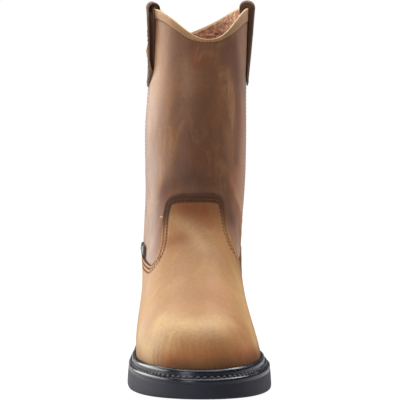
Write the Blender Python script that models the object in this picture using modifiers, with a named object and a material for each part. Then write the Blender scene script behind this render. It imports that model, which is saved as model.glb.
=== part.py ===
"""Pull-on work boot for the right foot, built as its maker's separate pieces.

All sizes are millimetres in the boot's own measure: `across` runs from the outer side of the foot (minus)
to the inner side (plus), `along` from the back of the sole to the toe, and `up` from the floor.
The meshes are in metres: X is across, Y is half the sole's length minus along (the toe points to -Y), Z is up.
"""

import math
from collections import namedtuple

import bmesh
import bpy
import numpy as np

# Whole boot
SOLE_LENGTH = 308.0
GAP = 0.3  # clearance between neighbouring pieces

# Leather
WALL = 2.2  # thickness of the upper
OVERLAY = 2.0  # thickness of the vamp and the counter
TAB = 1.6  # thickness of the side tab

# Sole pieces
WELT = 4.8  # height of the welt's edge
RIB_HEIGHT = 10.5  # top of the welt's rib over the outsole
RIB_WIDTH = 2.0
INSOLE = 4.0
HEEL_BREAST = 80.0  # front of the heel block
BREAST_HOLLOW = 3.0
LEDGE = 0.6  # the outsole stands out past the welt by this much
FLARE = 1.0  # and by this much at its lower edge

# Side view of the sole: underside and top of the outsole
SIDE_LINE = np.array([
    # along, under, top
    (0.0, 24.0, 31.0),
    (72.0, 24.0, 31.0),
    (116.0, 12.5, 21.5),
    (162.0, 0.0, 11.2),
    (212.0, 0.0, 11.2),
    (246.0, 2.0, 13.7),
    (274.0, 4.4, 16.3),
    (308.0, 8.0, 19.2),
    (340.0, 12.0, 23.2),
])

# One row for each ring of the form, from the feather edge up to the collar.
# back, front: ends of the ring, with their heights and how far across they lie.
# heel, waist, ball: how far the outer and inner sides stand from the middle of the sole.
# heel_at, ball_at: shares of the ring's length where its ends begin to round off; the ball lies further
# forward on the inner side by twice ball_skew. toe_power: how full the front end is.
# bed_share: how far the ring follows the sole's side view. scallop: rise of the sides over the ends,
# which comes later on the inner side (SCALLOP_LATE).
Section = namedtuple(
    "Section",
    "back back_up front front_up back_across front_across heel_out heel_in waist_out waist_in "
    "ball_out ball_in heel_at ball_at ball_skew toe_power bed_share scallop",
)
SECTIONS = [Section(*row) for row in (
    (7.6, 32.4, 295.8, 19.3, -4.5, 2.0, 36.5, 28.0, 39.5, 31.0, 47.7, 46.4, 0.15, 0.64, 0.02, 2.05, 1.00, 0.0),
    (6.0, 40.5, 297.5, 28.0, -4.5, 2.0, 37.2, 28.6, 41.0, 33.0, 48.8, 46.8, 0.15, 0.64, 0.02, 2.08, 0.95, 0.0),
    (4.6, 50.0, 297.2, 38.0, -4.6, 2.0, 37.6, 28.6, 42.4, 34.0, 49.0, 44.6, 0.15, 0.63, 0.02, 2.10, 0.85, 0.0),
    (4.0, 59.0, 293.0, 47.5, -4.8, 1.8, 37.6, 28.4, 43.2, 34.2, 48.2, 41.2, 0.16, 0.62, 0.02, 2.10, 0.65, 0.0),
    (4.4, 67.5, 284.0, 56.0, -5.0, 1.4, 37.5, 28.0, 43.8, 33.8, 46.8, 37.8, 0.17, 0.60, 0.02, 2.05, 0.45, 0.0),
    (5.3, 76.0, 268.0, 63.8, -5.3, 0.4, 37.6, 27.6, 44.4, 33.4, 45.4, 35.0, 0.19, 0.58, 0.02, 2.00, 0.28, 0.0),
    (6.6, 84.5, 245.0, 71.6, -5.6, -1.2, 38.0, 27.2, 45.0, 32.8, 44.8, 33.2, 0.22, 0.56, 0.01, 2.00, 0.15, 0.0),
    (8.3, 94.0, 217.0, 83.0, -6.0, -3.2, 39.2, 27.4, 46.0, 32.8, 45.2, 32.6, 0.26, 0.55, 0.00, 2.00, 0.06, 0.0),
    (10.2, 105.0, 190.0, 99.5, -6.4, -4.6, 41.6, 29.0, 47.2, 34.0, 46.2, 33.6, 0.31, 0.54, 0.00, 2.00, 0.00, 0.0),
    (11.5, 118.0, 168.0, 119.5, -6.2, -5.2, 44.0, 32.2, 47.8, 36.0, 46.8, 35.2, 0.36, 0.53, 0.00, 2.00, 0.00, 0.0),
    (12.0, 134.0, 153.0, 142.5, -5.8, -5.2, 45.6, 35.2, 47.4, 37.5, 46.8, 36.9, 0.40, 0.53, 0.00, 2.00, 0.00, 0.0),
    (11.0, 156.0, 144.5, 169.0, -5.2, -4.0, 46.4, 37.4, 46.9, 38.6, 46.6, 38.2, 0.43, 0.53, 0.00, 2.00, 0.00, 0.0),
    (8.4, 186.0, 141.0, 198.0, -5.2, -2.0, 46.1, 38.7, 46.2, 39.0, 46.1, 38.8, 0.45, 0.54, 0.00, 2.00, 0.00, 0.0),
    (6.0, 217.0, 139.4, 226.0, -5.8, 0.6, 44.8, 38.4, 44.8, 38.5, 44.8, 38.4, 0.45, 0.55, 0.00, 2.00, 0.00, 2.0),
    (4.0, 246.0, 138.6, 250.0, -7.2, 3.6, 41.3, 39.4, 41.3, 39.4, 41.3, 39.4, 0.44, 0.56, 0.00, 2.00, 0.00, 8.0),
    (3.0, 274.0, 138.2, 274.0, -9.5, 6.5, 39.8, 40.6, 39.8, 40.6, 39.8, 40.6, 0.42, 0.58, 0.00, 2.00, 0.00, 24.0),
)]
SCALLOP_LATE = 1.45
SOLE_EDGE = Section(
    0.0, 31.0, 308.0, 19.2, -4.0, 3.5, 43.5, 35.0, 51.0, 42.0,
    56.8, 56.6, 0.15, 0.63, 0.02, 2.00, 1.00, 0.0,
)

# Seam lines in side view, from the tongue's top down to the front corner and back to the wing's end
VAMP_EDGE_OUT = [
    # along, up
    (330.0, 148.2),
    (151.0, 148.2),
    (148.0, 147.2),
    (145.4, 145.4),
    (143.9, 143.2),
    (143.5, 140.6),
    (144.6, 136.2),
    (147.2, 129.4),
    (151.2, 122.3),
    (156.9, 115.0),
    (163.0, 108.2),
    (168.0, 102.2),
    (171.0, 96.2),
    (172.2, 91.2),
    (165.0, 91.4),
    (140.0, 93.4),
    (112.0, 97.0),
    (74.0, 102.0),
]
VAMP_EDGE_IN = [
    # along, up
    (330.0, 148.2),
    (151.0, 148.2),
    (147.8, 147.8),
    (144.6, 146.7),
    (142.4, 145.0),
    (141.2, 142.2),
    (141.4, 137.6),
    (142.8, 132.0),
    (144.8, 125.4),
    (146.2, 119.0),
    (146.9, 111.6),
    (147.3, 104.0),
    (147.8, 97.0),
    (146.8, 91.4),
    (142.0, 87.2),
    (133.0, 87.0),
    (110.0, 92.6),
    (74.0, 102.0),
]
COUNTER_BACK_UP = 112.0  # top of the counter at the back of the heel
SIDE_TAB = [
    # along, up
    (139.0, 94.8),
    (131.0, 107.0),
    (111.0, 110.0),
    (111.0, 98.8),
]

# Pull straps: path of the strap over the collar, from the lower end outside to the lower end inside.
# out: distance from the outside of the wall (minus is towards the inside); rise: height over the rim.
STRAP_WIDTH = 36.0
STRAP_MIDDLE_OUT = 86.0  # along
STRAP_MIDDLE_IN = 76.0
STRAP_ROUND = 9.0  # rise of the lower end's corners over its middle
STRAP_PATH = [
    # out, rise, thickness
    (0.3, -66.0, 1.1),
    (0.3, -50.0, 1.9),
    (0.4, -34.0, 2.8),
    (0.6, -14.0, 3.7),
    (0.8, -1.0, 4.1),
    (0.6, 1.0, 4.2),
    (-1.1, 1.6, 4.2),
    (-2.8, 1.0, 4.1),
    (-3.3, -1.0, 3.8),
    (-3.3, -10.0, 3.2),
    (-3.3, -24.0, 2.4),
    (-3.3, -36.0, 1.6),
]

# Tread: grooves across the forefoot and the heel
FOREFOOT_GROOVES = (176.0, 196.0, 216.0, 236.0, 256.0, 276.0)  # along, middle of each groove
HEEL_GROOVES = (22.0, 42.0, 62.0)
GROOVE_WIDTH = 7.0
GROOVE_DEPTH = 4.0
TREAD_RIM = 11.0  # solid rim of the tread round the grooves

AROUND = 20  # points from the back of the upper to its front, each side
SOLE_AROUND = 30
DENSE = 240

PIECES = bpy.data.collections.new("pull_on_work_boot")
CUTTERS = bpy.data.collections.new("cutters")


def smooth(places, values):
    """A curve through a short table that does not overshoot, level at both ends."""
    places = np.asarray(places, float)
    values = np.asarray(values, float)
    step = np.diff(places)
    rise = np.diff(values) / step
    slope = np.zeros_like(values)
    same = rise[:-1] * rise[1:] > 0
    near, far = 2 * step[1:] + step[:-1], step[1:] + 2 * step[:-1]
    safe = np.where(same, rise[:-1], 1.0), np.where(same, rise[1:], 1.0)
    slope[1:-1] = np.where(same, (near + far) / (near / safe[0] + far / safe[1]), 0.0)

    def curve(at):
        at = np.clip(np.asarray(at, float), places[0], places[-1])
        k = np.clip(np.searchsorted(places, at, side="right") - 1, 0, len(step) - 1)
        t = (at - places[k]) / step[k]
        keep = (1 + 2 * t) * (1 - t) ** 2
        return (keep * values[k] + (1 - keep) * values[k + 1]
                + step[k] * t * (1 - t) * ((1 - t) * slope[k] - t * slope[k + 1]))

    return curve


sole_under = smooth(SIDE_LINE[:, 0], SIDE_LINE[:, 1])
sole_top = smooth(SIDE_LINE[:, 0], SIDE_LINE[:, 2])
SECTION_CURVES = [smooth(range(len(SECTIONS)), column) for column in zip(*SECTIONS)]


def section_at(place):
    """The ring at a place between two rows of the table."""
    return Section(*(float(curve(place)) for curve in SECTION_CURVES))


def bed_dip(section, along):
    """How far the sole's top lies over the straight line between the ring's ends."""
    ends = np.clip((section.back, section.front), 0.0, SOLE_LENGTH)
    return sole_top(along) - np.interp(along, ends, sole_top(ends))


def half_ring(section, side):
    """Dense points of one side of a ring, from its back to its front; side is -1 outside, +1 inside."""
    share = (1 - np.cos(np.linspace(0, math.pi, DENSE))) / 2
    ball_at = section.ball_at + side * section.ball_skew
    middle = (section.heel_at + ball_at) / 2
    if side < 0:
        flank = smooth((section.heel_at, middle, ball_at),
                       (-section.heel_out, -section.waist_out, -section.ball_out))(share)
    else:
        flank = smooth((section.heel_at, middle, ball_at),
                       (section.heel_in, section.waist_in, section.ball_in))(share)
    to_back = np.clip((section.heel_at - share) / section.heel_at, 0, 1)
    to_front = np.clip((share - ball_at) / (1 - ball_at), 0, 1)
    cap = np.sqrt(1 - to_back ** 2) * (1 - to_front ** section.toe_power) ** (1 / section.toe_power)
    tip = np.where(share < middle, section.back_across, section.front_across)
    along = section.back + share * (section.front - section.back)
    up = section.back_up + share * (section.front_up - section.back_up)
    climb = cap if side < 0 else cap ** SCALLOP_LATE
    up = up + section.bed_share * bed_dip(section, along) + section.scallop * climb ** 2 * (3 - 2 * climb)
    return np.column_stack((tip + (flank - tip) * cap, along, up))


def spaced(points, count):
    """Points along a line, closer together towards its two ends."""
    length = np.concatenate(([0.0], np.cumsum(np.linalg.norm(np.diff(points, axis=0), axis=1))))
    share = np.linspace(0, 1, count + 1)
    share = share - 0.45 * np.sin(2 * math.pi * share) / (2 * math.pi)
    return np.column_stack([np.interp(share * length[-1], length, column) for column in points.T])


def ring(section, count):
    """A ring from the back, round the outer side to the front and back along the inner side."""
    outer = spaced(half_ring(section, -1), count)
    inner = spaced(half_ring(section, 1), count)
    return np.vstack((outer, inner[-2:0:-1]))


def outset(points, distance):
    """A ring moved outwards in plan."""
    tangent = np.roll(points, -1, axis=0) - np.roll(points, 1, axis=0)
    normal = np.column_stack((-tangent[:, 1], tangent[:, 0]))
    normal /= np.linalg.norm(normal, axis=1, keepdims=True)
    moved = points.copy()
    moved[:, :2] += normal * distance
    return moved


def at_height(points, up):
    return np.column_stack((points[:, :2], up))


def paint(name, color, roughness):
    material = bpy.data.materials.new(name)
    material.use_nodes = True
    shader = material.node_tree.nodes["Principled BSDF"]
    shader.inputs["Base Color"].default_value = (*color, 1.0)
    shader.inputs["Roughness"].default_value = roughness
    material.diffuse_color = (*color, 1.0)
    return material


def loft(name, rings, material=None, ends=None, around=False, closed=True):
    """Joins rings of points. ends: 'strip' closes them from side to side, 'face' with one face;
    around: the last ring joins the first; closed: each ring runs back to its own start."""
    rings = np.asarray(rings, float)
    layers, count = rings.shape[:2]
    shape = bmesh.new()
    grid = [[shape.verts.new((x / 1000, (SOLE_LENGTH / 2 - y) / 1000, z / 1000)) for x, y, z in row]
            for row in rings]
    for k in range(layers if around else layers - 1):
        low, high = grid[k], grid[(k + 1) % layers]
        for i in range(count if closed else count - 1):
            j = (i + 1) % count
            shape.faces.new((low[i], low[j], high[j], high[i]))
    for row in (grid[0], grid[-1]) if ends else ():
        if ends == "face":
            shape.faces.new(row)
            continue
        half = count // 2
        shape.faces.new((row[0], row[1], row[-1]))
        shape.faces.new((row[half], row[half + 1], row[half - 1]))
        for i in range(1, half - 1):
            shape.faces.new((row[i], row[i + 1], row[-i - 1], row[-i]))
    if ends or around:
        bmesh.ops.recalc_face_normals(shape, faces=shape.faces)
    mesh = bpy.data.meshes.new(name)
    shape.to_mesh(mesh)
    shape.free()
    piece = bpy.data.objects.new(name, mesh)
    if material is None:
        piece.display_type = "WIRE"
        piece.hide_render = True
        CUTTERS.objects.link(piece)
    else:
        mesh.materials.append(material)
        PIECES.objects.link(piece)
    return piece


def thicken(piece, thickness, outwards):
    solid = piece.modifiers.new("thickness", "SOLIDIFY")
    solid.thickness = thickness / 1000
    solid.offset = 1.0 if outwards else -1.0
    solid.use_even_offset = True
    solid.use_quality_normals = True


def lift(piece, distance):
    """Moves an open form off the surface that it was taken from."""
    gap = piece.modifiers.new("clearance", "DISPLACE")
    gap.direction = "NORMAL"
    gap.mid_level = 0.0
    gap.strength = distance / 1000


def cut(piece, cutter, operation="DIFFERENCE"):
    boolean = piece.modifiers.new(cutter.name, "BOOLEAN")
    boolean.operation = operation
    boolean.solver = "EXACT"
    boolean.object = cutter


def side_prism(name, outer_line, inner_line):
    """A cutter with one outline on the outer side and another on the inner side."""
    layers = []
    for across, line in ((-90.0, outer_line), (-1.0, outer_line), (1.0, inner_line), (90.0, inner_line)):
        layers.append([(across, along, up) for along, up in line])
    return loft(name, layers, ends="face")


def upper_form(name, material):
    """The upper's outside, open at the collar and underneath."""
    places = np.arange(0, len(SECTIONS) - 0.75, 0.5)
    form = loft(name, [ring(section_at(place), AROUND) for place in places], material)
    facets = form.modifiers.new("facets", "TRIANGULATE")
    facets.quad_method = "FIXED"
    return form


def overlay(name, material, cutter, thickness=OVERLAY):
    """A piece cut out of a larger form that lies over the upper."""
    piece = upper_form(name, material)
    lift(piece, GAP)
    thicken(piece, thickness, True)
    cut(piece, cutter, "INTERSECT")
    return piece


def build_upper(leather):
    thicken(upper_form("upper", leather), WALL, False)


def build_overlays(leather, patch):
    wing = VAMP_EDGE_OUT[-1]
    floor = -10.0
    toe = [(330.0, floor)]
    wing_foot = [(wing[0], floor)]
    vamp_region = side_prism("vamp_outline", toe + VAMP_EDGE_OUT + wing_foot, toe + VAMP_EDGE_IN + wing_foot)
    overlay("vamp", leather, vamp_region)
    front = wing[0] - GAP
    counter_line = [(front, floor), (front, wing[1]), (40.0, wing[1] + 7.0), (15.0, COUNTER_BACK_UP),
                    (-30.0, COUNTER_BACK_UP), (-30.0, floor)]
    overlay("heel_counter", leather, side_prism("counter_outline", counter_line, counter_line))
    tab_region = loft("tab_outline", [[(across, *corner) for corner in SIDE_TAB] for across in (-90.0, -1.0)],
                      ends="face")
    overlay("side_tab_outer", patch, tab_region, TAB)


def build_straps(leather):
    straps = (("pull_strap_outer", -1, STRAP_MIDDLE_OUT), ("pull_strap_inner", 1, STRAP_MIDDLE_IN))
    for name, side, middle in straps:
        layers = []
        for step in np.linspace(-0.5, 0.5, 7):
            along = middle + step * STRAP_WIDTH
            line = np.array([[np.interp(along, half[:, 1], half[:, 0]), np.interp(along, half[:, 1], half[:, 2])]
                             for half in (half_ring(section_at(place), side)
                                          for place in np.linspace(len(SECTIONS) - 4, len(SECTIONS) - 1, 25))])
            rim = line[-1, 1]
            path = np.array(STRAP_PATH)
            path[:3, 1] += STRAP_ROUND * (2 * step) ** 2 * np.array((1.0, 0.6, 0.2))
            wall = np.interp(rim + path[:, 1], line[:, 1], line[:, 0])
            near = np.column_stack((wall + side * path[:, 0], rim + path[:, 1]))
            tangent = np.gradient(near, axis=0)
            away = side * np.column_stack((tangent[:, 1], -tangent[:, 0]))
            away /= np.linalg.norm(away, axis=1, keepdims=True)
            far = near + away * path[:, 2:]
            profile = np.vstack((near, far[::-1]))
            layers.append(np.column_stack((profile[:, 0], np.full(len(profile), along), profile[:, 1])))
        loft(name, layers, leather, ends="face")


def build_welt(rubber):
    inner = outset(ring(section_at(1.0), SOLE_AROUND), GAP + OVERLAY + GAP)
    edge = ring(SOLE_EDGE, SOLE_AROUND)
    profile = (
        (inner, GAP),
        (inner, RIB_HEIGHT - 0.4),
        (outset(inner, RIB_WIDTH / 2), RIB_HEIGHT),
        (outset(inner, RIB_WIDTH), RIB_HEIGHT - 0.5),
        (outset(inner, RIB_WIDTH + 0.5), WELT + 0.9),
        (outset(edge, -0.7), WELT),
        (edge, WELT - 0.7),
        (edge, GAP),
    )
    loft("welt", [at_height(line, sole_top(line[:, 1]) + height) for line, height in profile], rubber, around=True)


def build_outsole(rubber):
    edge = ring(SOLE_EDGE, SOLE_AROUND)
    profile = (
        (outset(edge, -0.2), 1.0, 0.0),
        (outset(edge, LEDGE), 1.0, -0.6),
        (outset(edge, FLARE), 0.0, 1.6),
        (outset(edge, 0.2), 0.0, 0.4),
        (outset(edge, -1.0), 0.0, 0.0),
    )
    layers = []
    for line, share, height in profile:
        along = line[:, 1]
        layers.append(at_height(line, share * sole_top(along) + (1 - share) * sole_under(along) + height))
    outsole = loft("outsole", layers, rubber, ends="strip")
    for number, along in enumerate(FOREFOOT_GROOVES):
        cut(outsole, groove(f"forefoot_groove_{number}", along, outset(edge, -TREAD_RIM), sole_under))


def groove(name, along, limit, under):
    """A channel across the tread that ends inside its rim."""
    half = len(limit) // 2
    outer, inner = limit[:half + 1], limit[half:][::-1]
    layers = []
    for step in (-0.5, 0.5):
        place = along + step * GROOVE_WIDTH
        left = np.interp(place, outer[:, 1], outer[:, 0])
        right = np.interp(place, inner[:, 1], inner[:, 0])
        low, high = -3.0, float(under(place)) + GROOVE_DEPTH
        layers.append([(left, place, low), (right, place, low), (right, place, high), (left, place, high)])
    return loft(name, layers, ends="face")


def heel_ring(inset, up):
    """Outline of the heel block: the sole's edge back of the breast, closed by a straight breast."""
    edge = outset(ring(SOLE_EDGE, SOLE_AROUND * 3), LEDGE - inset)
    half = len(edge) // 2
    outer, inner = edge[:half + 1], np.vstack((edge[half:], edge[:1]))[::-1]
    start = edge[0, 1]
    stations = start + (HEEL_BREAST - start) * (1 - np.cos(np.linspace(0, math.pi / 2, 11))) ** 1.2
    left = np.column_stack((np.interp(stations, outer[:, 1], outer[:, 0]), stations))
    right = np.column_stack((np.interp(stations, inner[:, 1], inner[:, 0]), stations))
    middle = [((left[-1, 0] + right[-1, 0]) / 2, HEEL_BREAST - BREAST_HOLLOW)]
    plan = np.vstack((left, middle, right[:0:-1]))
    return at_height(plan, np.full(len(plan), up) if np.isscalar(up) else up(plan[:, 1]))


def build_heel(rubber):
    def top(along):
        return sole_under(along) - GAP

    heel = loft("heel", [heel_ring(0.6, top), heel_ring(1.4, 1.4), heel_ring(2.6, 0.0)], rubber, ends="strip")
    for number, along in enumerate(HEEL_GROOVES):
        limit = outset(ring(SOLE_EDGE, SOLE_AROUND), -TREAD_RIM)
        cut(heel, groove(f"heel_groove_{number}", along, limit, lambda place: 0.0))


def build_insole(fabric):
    edge = outset(ring(SECTIONS[0], SOLE_AROUND), -WALL - 2 * GAP)
    layers = []
    for inset, height in ((0.6, GAP), (0.0, 1.0), (0.0, INSOLE - 0.7), (0.8, INSOLE)):
        line = outset(edge, -inset)
        layers.append(at_height(line, sole_top(line[:, 1]) + height))
    loft("insole", layers, fabric, ends="strip")


def main():
    for old in list(bpy.data.objects):
        bpy.data.objects.remove(old, do_unlink=True)
    bpy.context.scene.collection.children.link(PIECES)
    bpy.context.scene.collection.children.link(CUTTERS)
    shaft_leather = paint("brown_leather", (0.13, 0.07, 0.045), 0.55)
    foot_leather = paint("tan_leather", (0.3, 0.15, 0.07), 0.55)
    strap_leather = paint("dark_leather", (0.055, 0.035, 0.026), 0.6)
    rubber = paint("black_rubber", (0.03, 0.03, 0.033), 0.5)
    lining = paint("footbed_fabric", (0.14, 0.08, 0.045), 0.9)
    build_outsole(rubber)
    build_heel(rubber)
    build_insole(lining)
    build_upper(shaft_leather)
    build_welt(rubber)
    build_overlays(foot_leather, strap_leather)
    build_straps(strap_leather)


main()
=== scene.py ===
"""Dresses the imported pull-on work boot: leather upper and overlays, stitching, straps, lining and rubber sole.

Sizes are millimetres in the boot's own measure: `across` runs from the outer side of the foot (minus) to the
inner side (plus), `along` from the back of the sole to the toe, and `up` from the floor.
The meshes are in metres: X is across, Y is half the sole's length minus along (the toe points to -Y), Z is up.
"""

import math
from collections import namedtuple

import bmesh
import bpy
import numpy as np
from mathutils import Matrix, Vector, noise


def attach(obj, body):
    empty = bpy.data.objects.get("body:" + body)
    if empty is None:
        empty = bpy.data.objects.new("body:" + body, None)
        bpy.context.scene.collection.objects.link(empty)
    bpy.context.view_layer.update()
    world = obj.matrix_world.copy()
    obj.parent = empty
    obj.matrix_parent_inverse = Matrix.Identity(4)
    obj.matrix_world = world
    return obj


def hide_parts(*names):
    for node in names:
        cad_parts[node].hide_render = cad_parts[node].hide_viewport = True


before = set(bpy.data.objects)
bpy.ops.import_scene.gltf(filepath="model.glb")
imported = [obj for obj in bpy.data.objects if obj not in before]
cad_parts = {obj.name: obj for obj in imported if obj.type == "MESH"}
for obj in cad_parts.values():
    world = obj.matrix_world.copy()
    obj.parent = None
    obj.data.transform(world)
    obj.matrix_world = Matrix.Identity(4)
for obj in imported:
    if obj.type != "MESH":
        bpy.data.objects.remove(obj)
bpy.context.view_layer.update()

# ---------------------------------------------------------------- sizes of the boot

SOLE_LENGTH = 308.0
SHAFT_LEATHER = 1.4
LINING = 0.9
OVERLAY = 2.2  # outside of the vamp and the counter over the shaft's leather
UNDER = 0.12  # clearance under an overlay
DENSE = 400  # points worked out on one side of a ring
HALF_MM = 0.0005  # half a millimetre in metres

# Stitches: length, width, height
OVERLAY_STITCH = (2.0, 1.5, 0.8)
SIDE_SEAM_STITCH = (2.0, 0.9, 0.5)
COLLAR_THREAD = (2.3, 0.8, 0.7)
STRAP_STITCH = (2.4, 0.9, 0.8)
WELT_STITCH = (3.0, 1.3, 1.5)
LOOSE_STITCH = (2.0, 1.4, 1.2)
STITCH_PITCH = 3.2
# The darker thread above these heights is painted shade; the real thread is one colour.
DARK_THREAD_OUT, DARK_THREAD_IN = 124, 96  # heights above which the stitches are darker, on each side
LOW_STITCH_WIDTH = 1.35  # how much wider the lower stitches are

# Side view of the sole: underside and top of the outsole
SIDE_LINE = np.array([
    # along, under, top
    (0.0, 24.0, 31.0), (72.0, 24.0, 31.0), (116.0, 12.5, 22.3), (162.0, 0.0, 14.0), (212.0, 0.0, 14.2),
    (246.0, 2.0, 15.8), (274.0, 4.4, 17.2), (308.0, 8.0, 19.2), (340.0, 12.0, 22.4),
])

# Rings of the form from the feather edge up to the collar. back, front: ends of the ring, with their heights and
# how far across they lie. heel, waist, ball: how far the sides stand from the middle of the sole. heel_at, ball_at:
# shares of the length where the ends round off. ball_skew: how much further forward that lies on the inner side.
# toe_power: how square the toe is. bed_share: how far the ring follows the sole's side view. scallop: how far the
# ring's sides climb over its ends.
Section = namedtuple(
    "Section",
    "back back_up front front_up back_across front_across heel_out heel_in waist_out waist_in "
    "ball_out ball_in heel_at ball_at ball_skew toe_power bed_share scallop",
)
SECTIONS = [Section(*row) for row in (
    (7.6, 32.4, 295.8, 19.3, -4.5, 2.0, 36.5, 28.0, 39.5, 31.0, 47.7, 46.4, 0.15, 0.64, 0.02, 2.05, 1.00, 0.0),
    (6.0, 40.5, 297.5, 28.0, -4.5, 2.0, 37.2, 28.6, 41.0, 33.0, 48.8, 46.8, 0.15, 0.64, 0.02, 2.08, 0.95, 0.0),
    (4.6, 50.0, 297.2, 38.0, -4.6, 2.0, 37.6, 28.6, 42.4, 34.0, 49.0, 44.6, 0.15, 0.63, 0.02, 2.10, 0.85, 0.0),
    (4.0, 59.0, 293.0, 47.5, -4.8, 1.8, 37.6, 28.4, 43.2, 34.2, 48.2, 41.2, 0.16, 0.62, 0.02, 2.10, 0.65, 0.0),
    (4.4, 67.5, 284.0, 56.0, -5.0, 1.4, 37.5, 28.0, 43.8, 33.8, 46.8, 37.8, 0.17, 0.60, 0.02, 2.05, 0.45, 0.0),
    (5.3, 76.0, 268.0, 63.8, -5.3, 0.4, 37.6, 27.6, 44.4, 33.4, 45.4, 35.0, 0.19, 0.58, 0.02, 2.00, 0.28, 0.0),
    (6.6, 84.5, 245.0, 71.6, -5.6, -1.2, 38.0, 27.2, 45.0, 32.8, 44.8, 33.2, 0.22, 0.56, 0.01, 2.00, 0.15, 0.0),
    (8.3, 94.0, 217.0, 83.0, -6.0, -3.2, 39.2, 27.4, 46.0, 32.8, 45.2, 32.6, 0.26, 0.55, 0.00, 2.00, 0.06, 0.0),
    (10.2, 105.0, 190.0, 99.5, -6.4, -4.6, 41.6, 29.0, 47.2, 34.0, 46.2, 33.6, 0.31, 0.54, 0.00, 2.00, 0.00, 0.0),
    (11.5, 118.0, 168.0, 119.5, -6.2, -5.2, 43.2, 32.4, 46.6, 36.2, 45.6, 35.4, 0.36, 0.53, 0.00, 2.00, 0.00, 0.0),
    (12.0, 134.0, 153.0, 142.5, -5.8, -5.2, 44.4, 35.6, 46.0, 37.9, 45.4, 37.3, 0.40, 0.53, 0.00, 2.00, 0.00, 0.0),
    (11.0, 156.0, 144.5, 169.0, -5.2, -4.0, 45.8, 38.1, 46.3, 39.3, 46.0, 38.9, 0.43, 0.53, 0.00, 2.00, 0.00, 0.0),
    (8.4, 186.0, 141.0, 198.0, -5.2, -2.0, 46.0, 39.3, 46.1, 39.6, 46.0, 39.4, 0.45, 0.54, 0.00, 2.00, 0.00, 0.0),
    (6.0, 217.0, 139.4, 226.0, -5.8, 0.6, 43.9, 39.1, 43.9, 39.2, 43.9, 39.1, 0.45, 0.55, 0.00, 2.00, 0.00, 2.0),
    (4.0, 246.0, 138.6, 250.0, -7.2, 3.6, 41.3, 40.3, 41.3, 40.3, 41.3, 40.3, 0.44, 0.56, 0.00, 2.00, 0.00, 8.0),
    (3.0, 274.0, 138.2, 274.0, -9.5, 6.5, 39.8, 41.3, 39.8, 41.3, 39.8, 41.3, 0.42, 0.58, 0.00, 2.00, 0.00, 24.0),
)]
TOP = len(SECTIONS) - 1
SCALLOP_LATE = 1.45  # the collar climbs later on the front of the inner side
SCALLOP_BACK = (0.62, 0.83)  # at the back it climbs nearly straight
SCALLOP_DIP = 0.06  # how round the dip at the back is
SOLE_EDGE = Section(
    0.0, 31.0, 308.0, 19.2, -4.0, 3.5, 43.5, 35.0, 51.0, 42.0,
    56.8, 56.6, 0.15, 0.63, 0.02, 2.00, 1.00, 0.0,
)

# Seam of the vamp in side view, from the tongue's top down to the front corner and back along the wing
VAMP_EDGE_OUT = [
    (330.0, 148.2), (151.0, 148.2), (148.0, 147.2), (145.4, 145.4), (143.9, 143.2), (143.5, 140.6), (144.6, 136.2),
    (147.2, 129.4), (151.2, 122.3), (156.9, 115.0), (163.0, 108.2), (168.0, 102.2), (171.0, 96.2), (172.2, 91.2),
    (165.0, 91.4), (140.0, 93.4), (112.0, 97.0), (74.0, 102.0), (30.0, 108.0),
]
VAMP_EDGE_IN = [
    (330.0, 148.2), (151.0, 148.2), (147.8, 147.8), (144.6, 146.7), (142.4, 145.0), (141.2, 142.2), (141.6, 137.6),
    (143.0, 132.6), (144.8, 127.2), (146.7, 122.6), (148.4, 118.0), (149.4, 113.4), (149.6, 108.6), (149.1, 103.4),
    (148.0, 98.0), (145.6, 92.6), (141.0, 88.6), (133.0, 87.6), (110.0, 92.6), (74.0, 102.0), (30.0, 113.4),
]
COUNTER_EDGE = [(120.0, 93.0), (90.0, 98.9), (73.7, 102.0), (40.0, 109.0), (15.0, 112.0), (-30.0, 112.0)]
WING_END = 74.0
SEAM_ROWS = (3.0, 6.1)  # two rows of stitches, from the edge of an overlay
COUNTER_END = 73.5
SIDE_TAB = ((139.0, 95.0), (132.0, 103.6), (112.0, 104.6), (112.0, 98.9))
SIDE_SEAM_OUT = ((74.0, 100.0), (80.0, 180.0), (85.0, 300.0))  # along, up
SIDE_SEAM_IN = ((74.0, 100.0), (75.0, 180.0), (76.0, 300.0))

# Collar stitching: distance under the edge, by the way round (0 back, 0.5 outer side, 1 front, 1.5 inner side)
COLLAR_STITCH = ((0.0, 5.0), (0.25, 8.0), (0.5, 8.5), (0.75, 7.6), (0.9, 6.0), (1.0, 2.8), (1.1, 5.5), (1.2, 10.0),
                 (1.35, 11.5), (1.5, 11.0), (1.75, 9.0), (2.0, 5.0))

# Pull straps: path over the collar from the lower end outside to the lower end inside.
# out: distance from the outside of the wall, rise: height over the rim
STRAP_WIDTH = 36.0
STRAP_ROUND_OUT, STRAP_ROUND_IN = 15.0, 9.0
STRAP_PATH_OUT = (
    (0.3, -66.0, 0.6), (0.3, -50.0, 0.8), (0.3, -34.0, 1.3), (0.4, -14.0, 2.4), (0.6, -1.0, 3.2), (0.6, 0.6, 4.2),
    (-0.9, 1.0, 4.2), (-2.2, 0.6, 2.6), (-2.6, -1.0, 1.8), (-2.6, -10.0, 1.7), (-2.6, -24.0, 1.6), (-2.6, -36.0, 1.3),
)
STRAP_PATH_IN = (
    (0.3, -66.0, 1.1), (0.3, -50.0, 1.9), (0.3, -34.0, 2.8), (0.4, -14.0, 3.8), (0.5, -1.0, 4.4), (0.4, 0.3, 4.9),
    (-1.1, 0.5, 5.2), (-2.8, 0.3, 4.8), (-3.4, -1.0, 3.9), (-3.4, -10.0, 3.2), (-3.3, -24.0, 2.4), (-3.3, -36.0, 1.6),
)
STRAP_FREE = ((0.0, 0.3, 1.0, 3.4, 4.6, 5.8), (0.1, 0.5, 0.95, 1.0, 0.7, 0.0))  # how far it stands off the leg's curve

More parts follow.
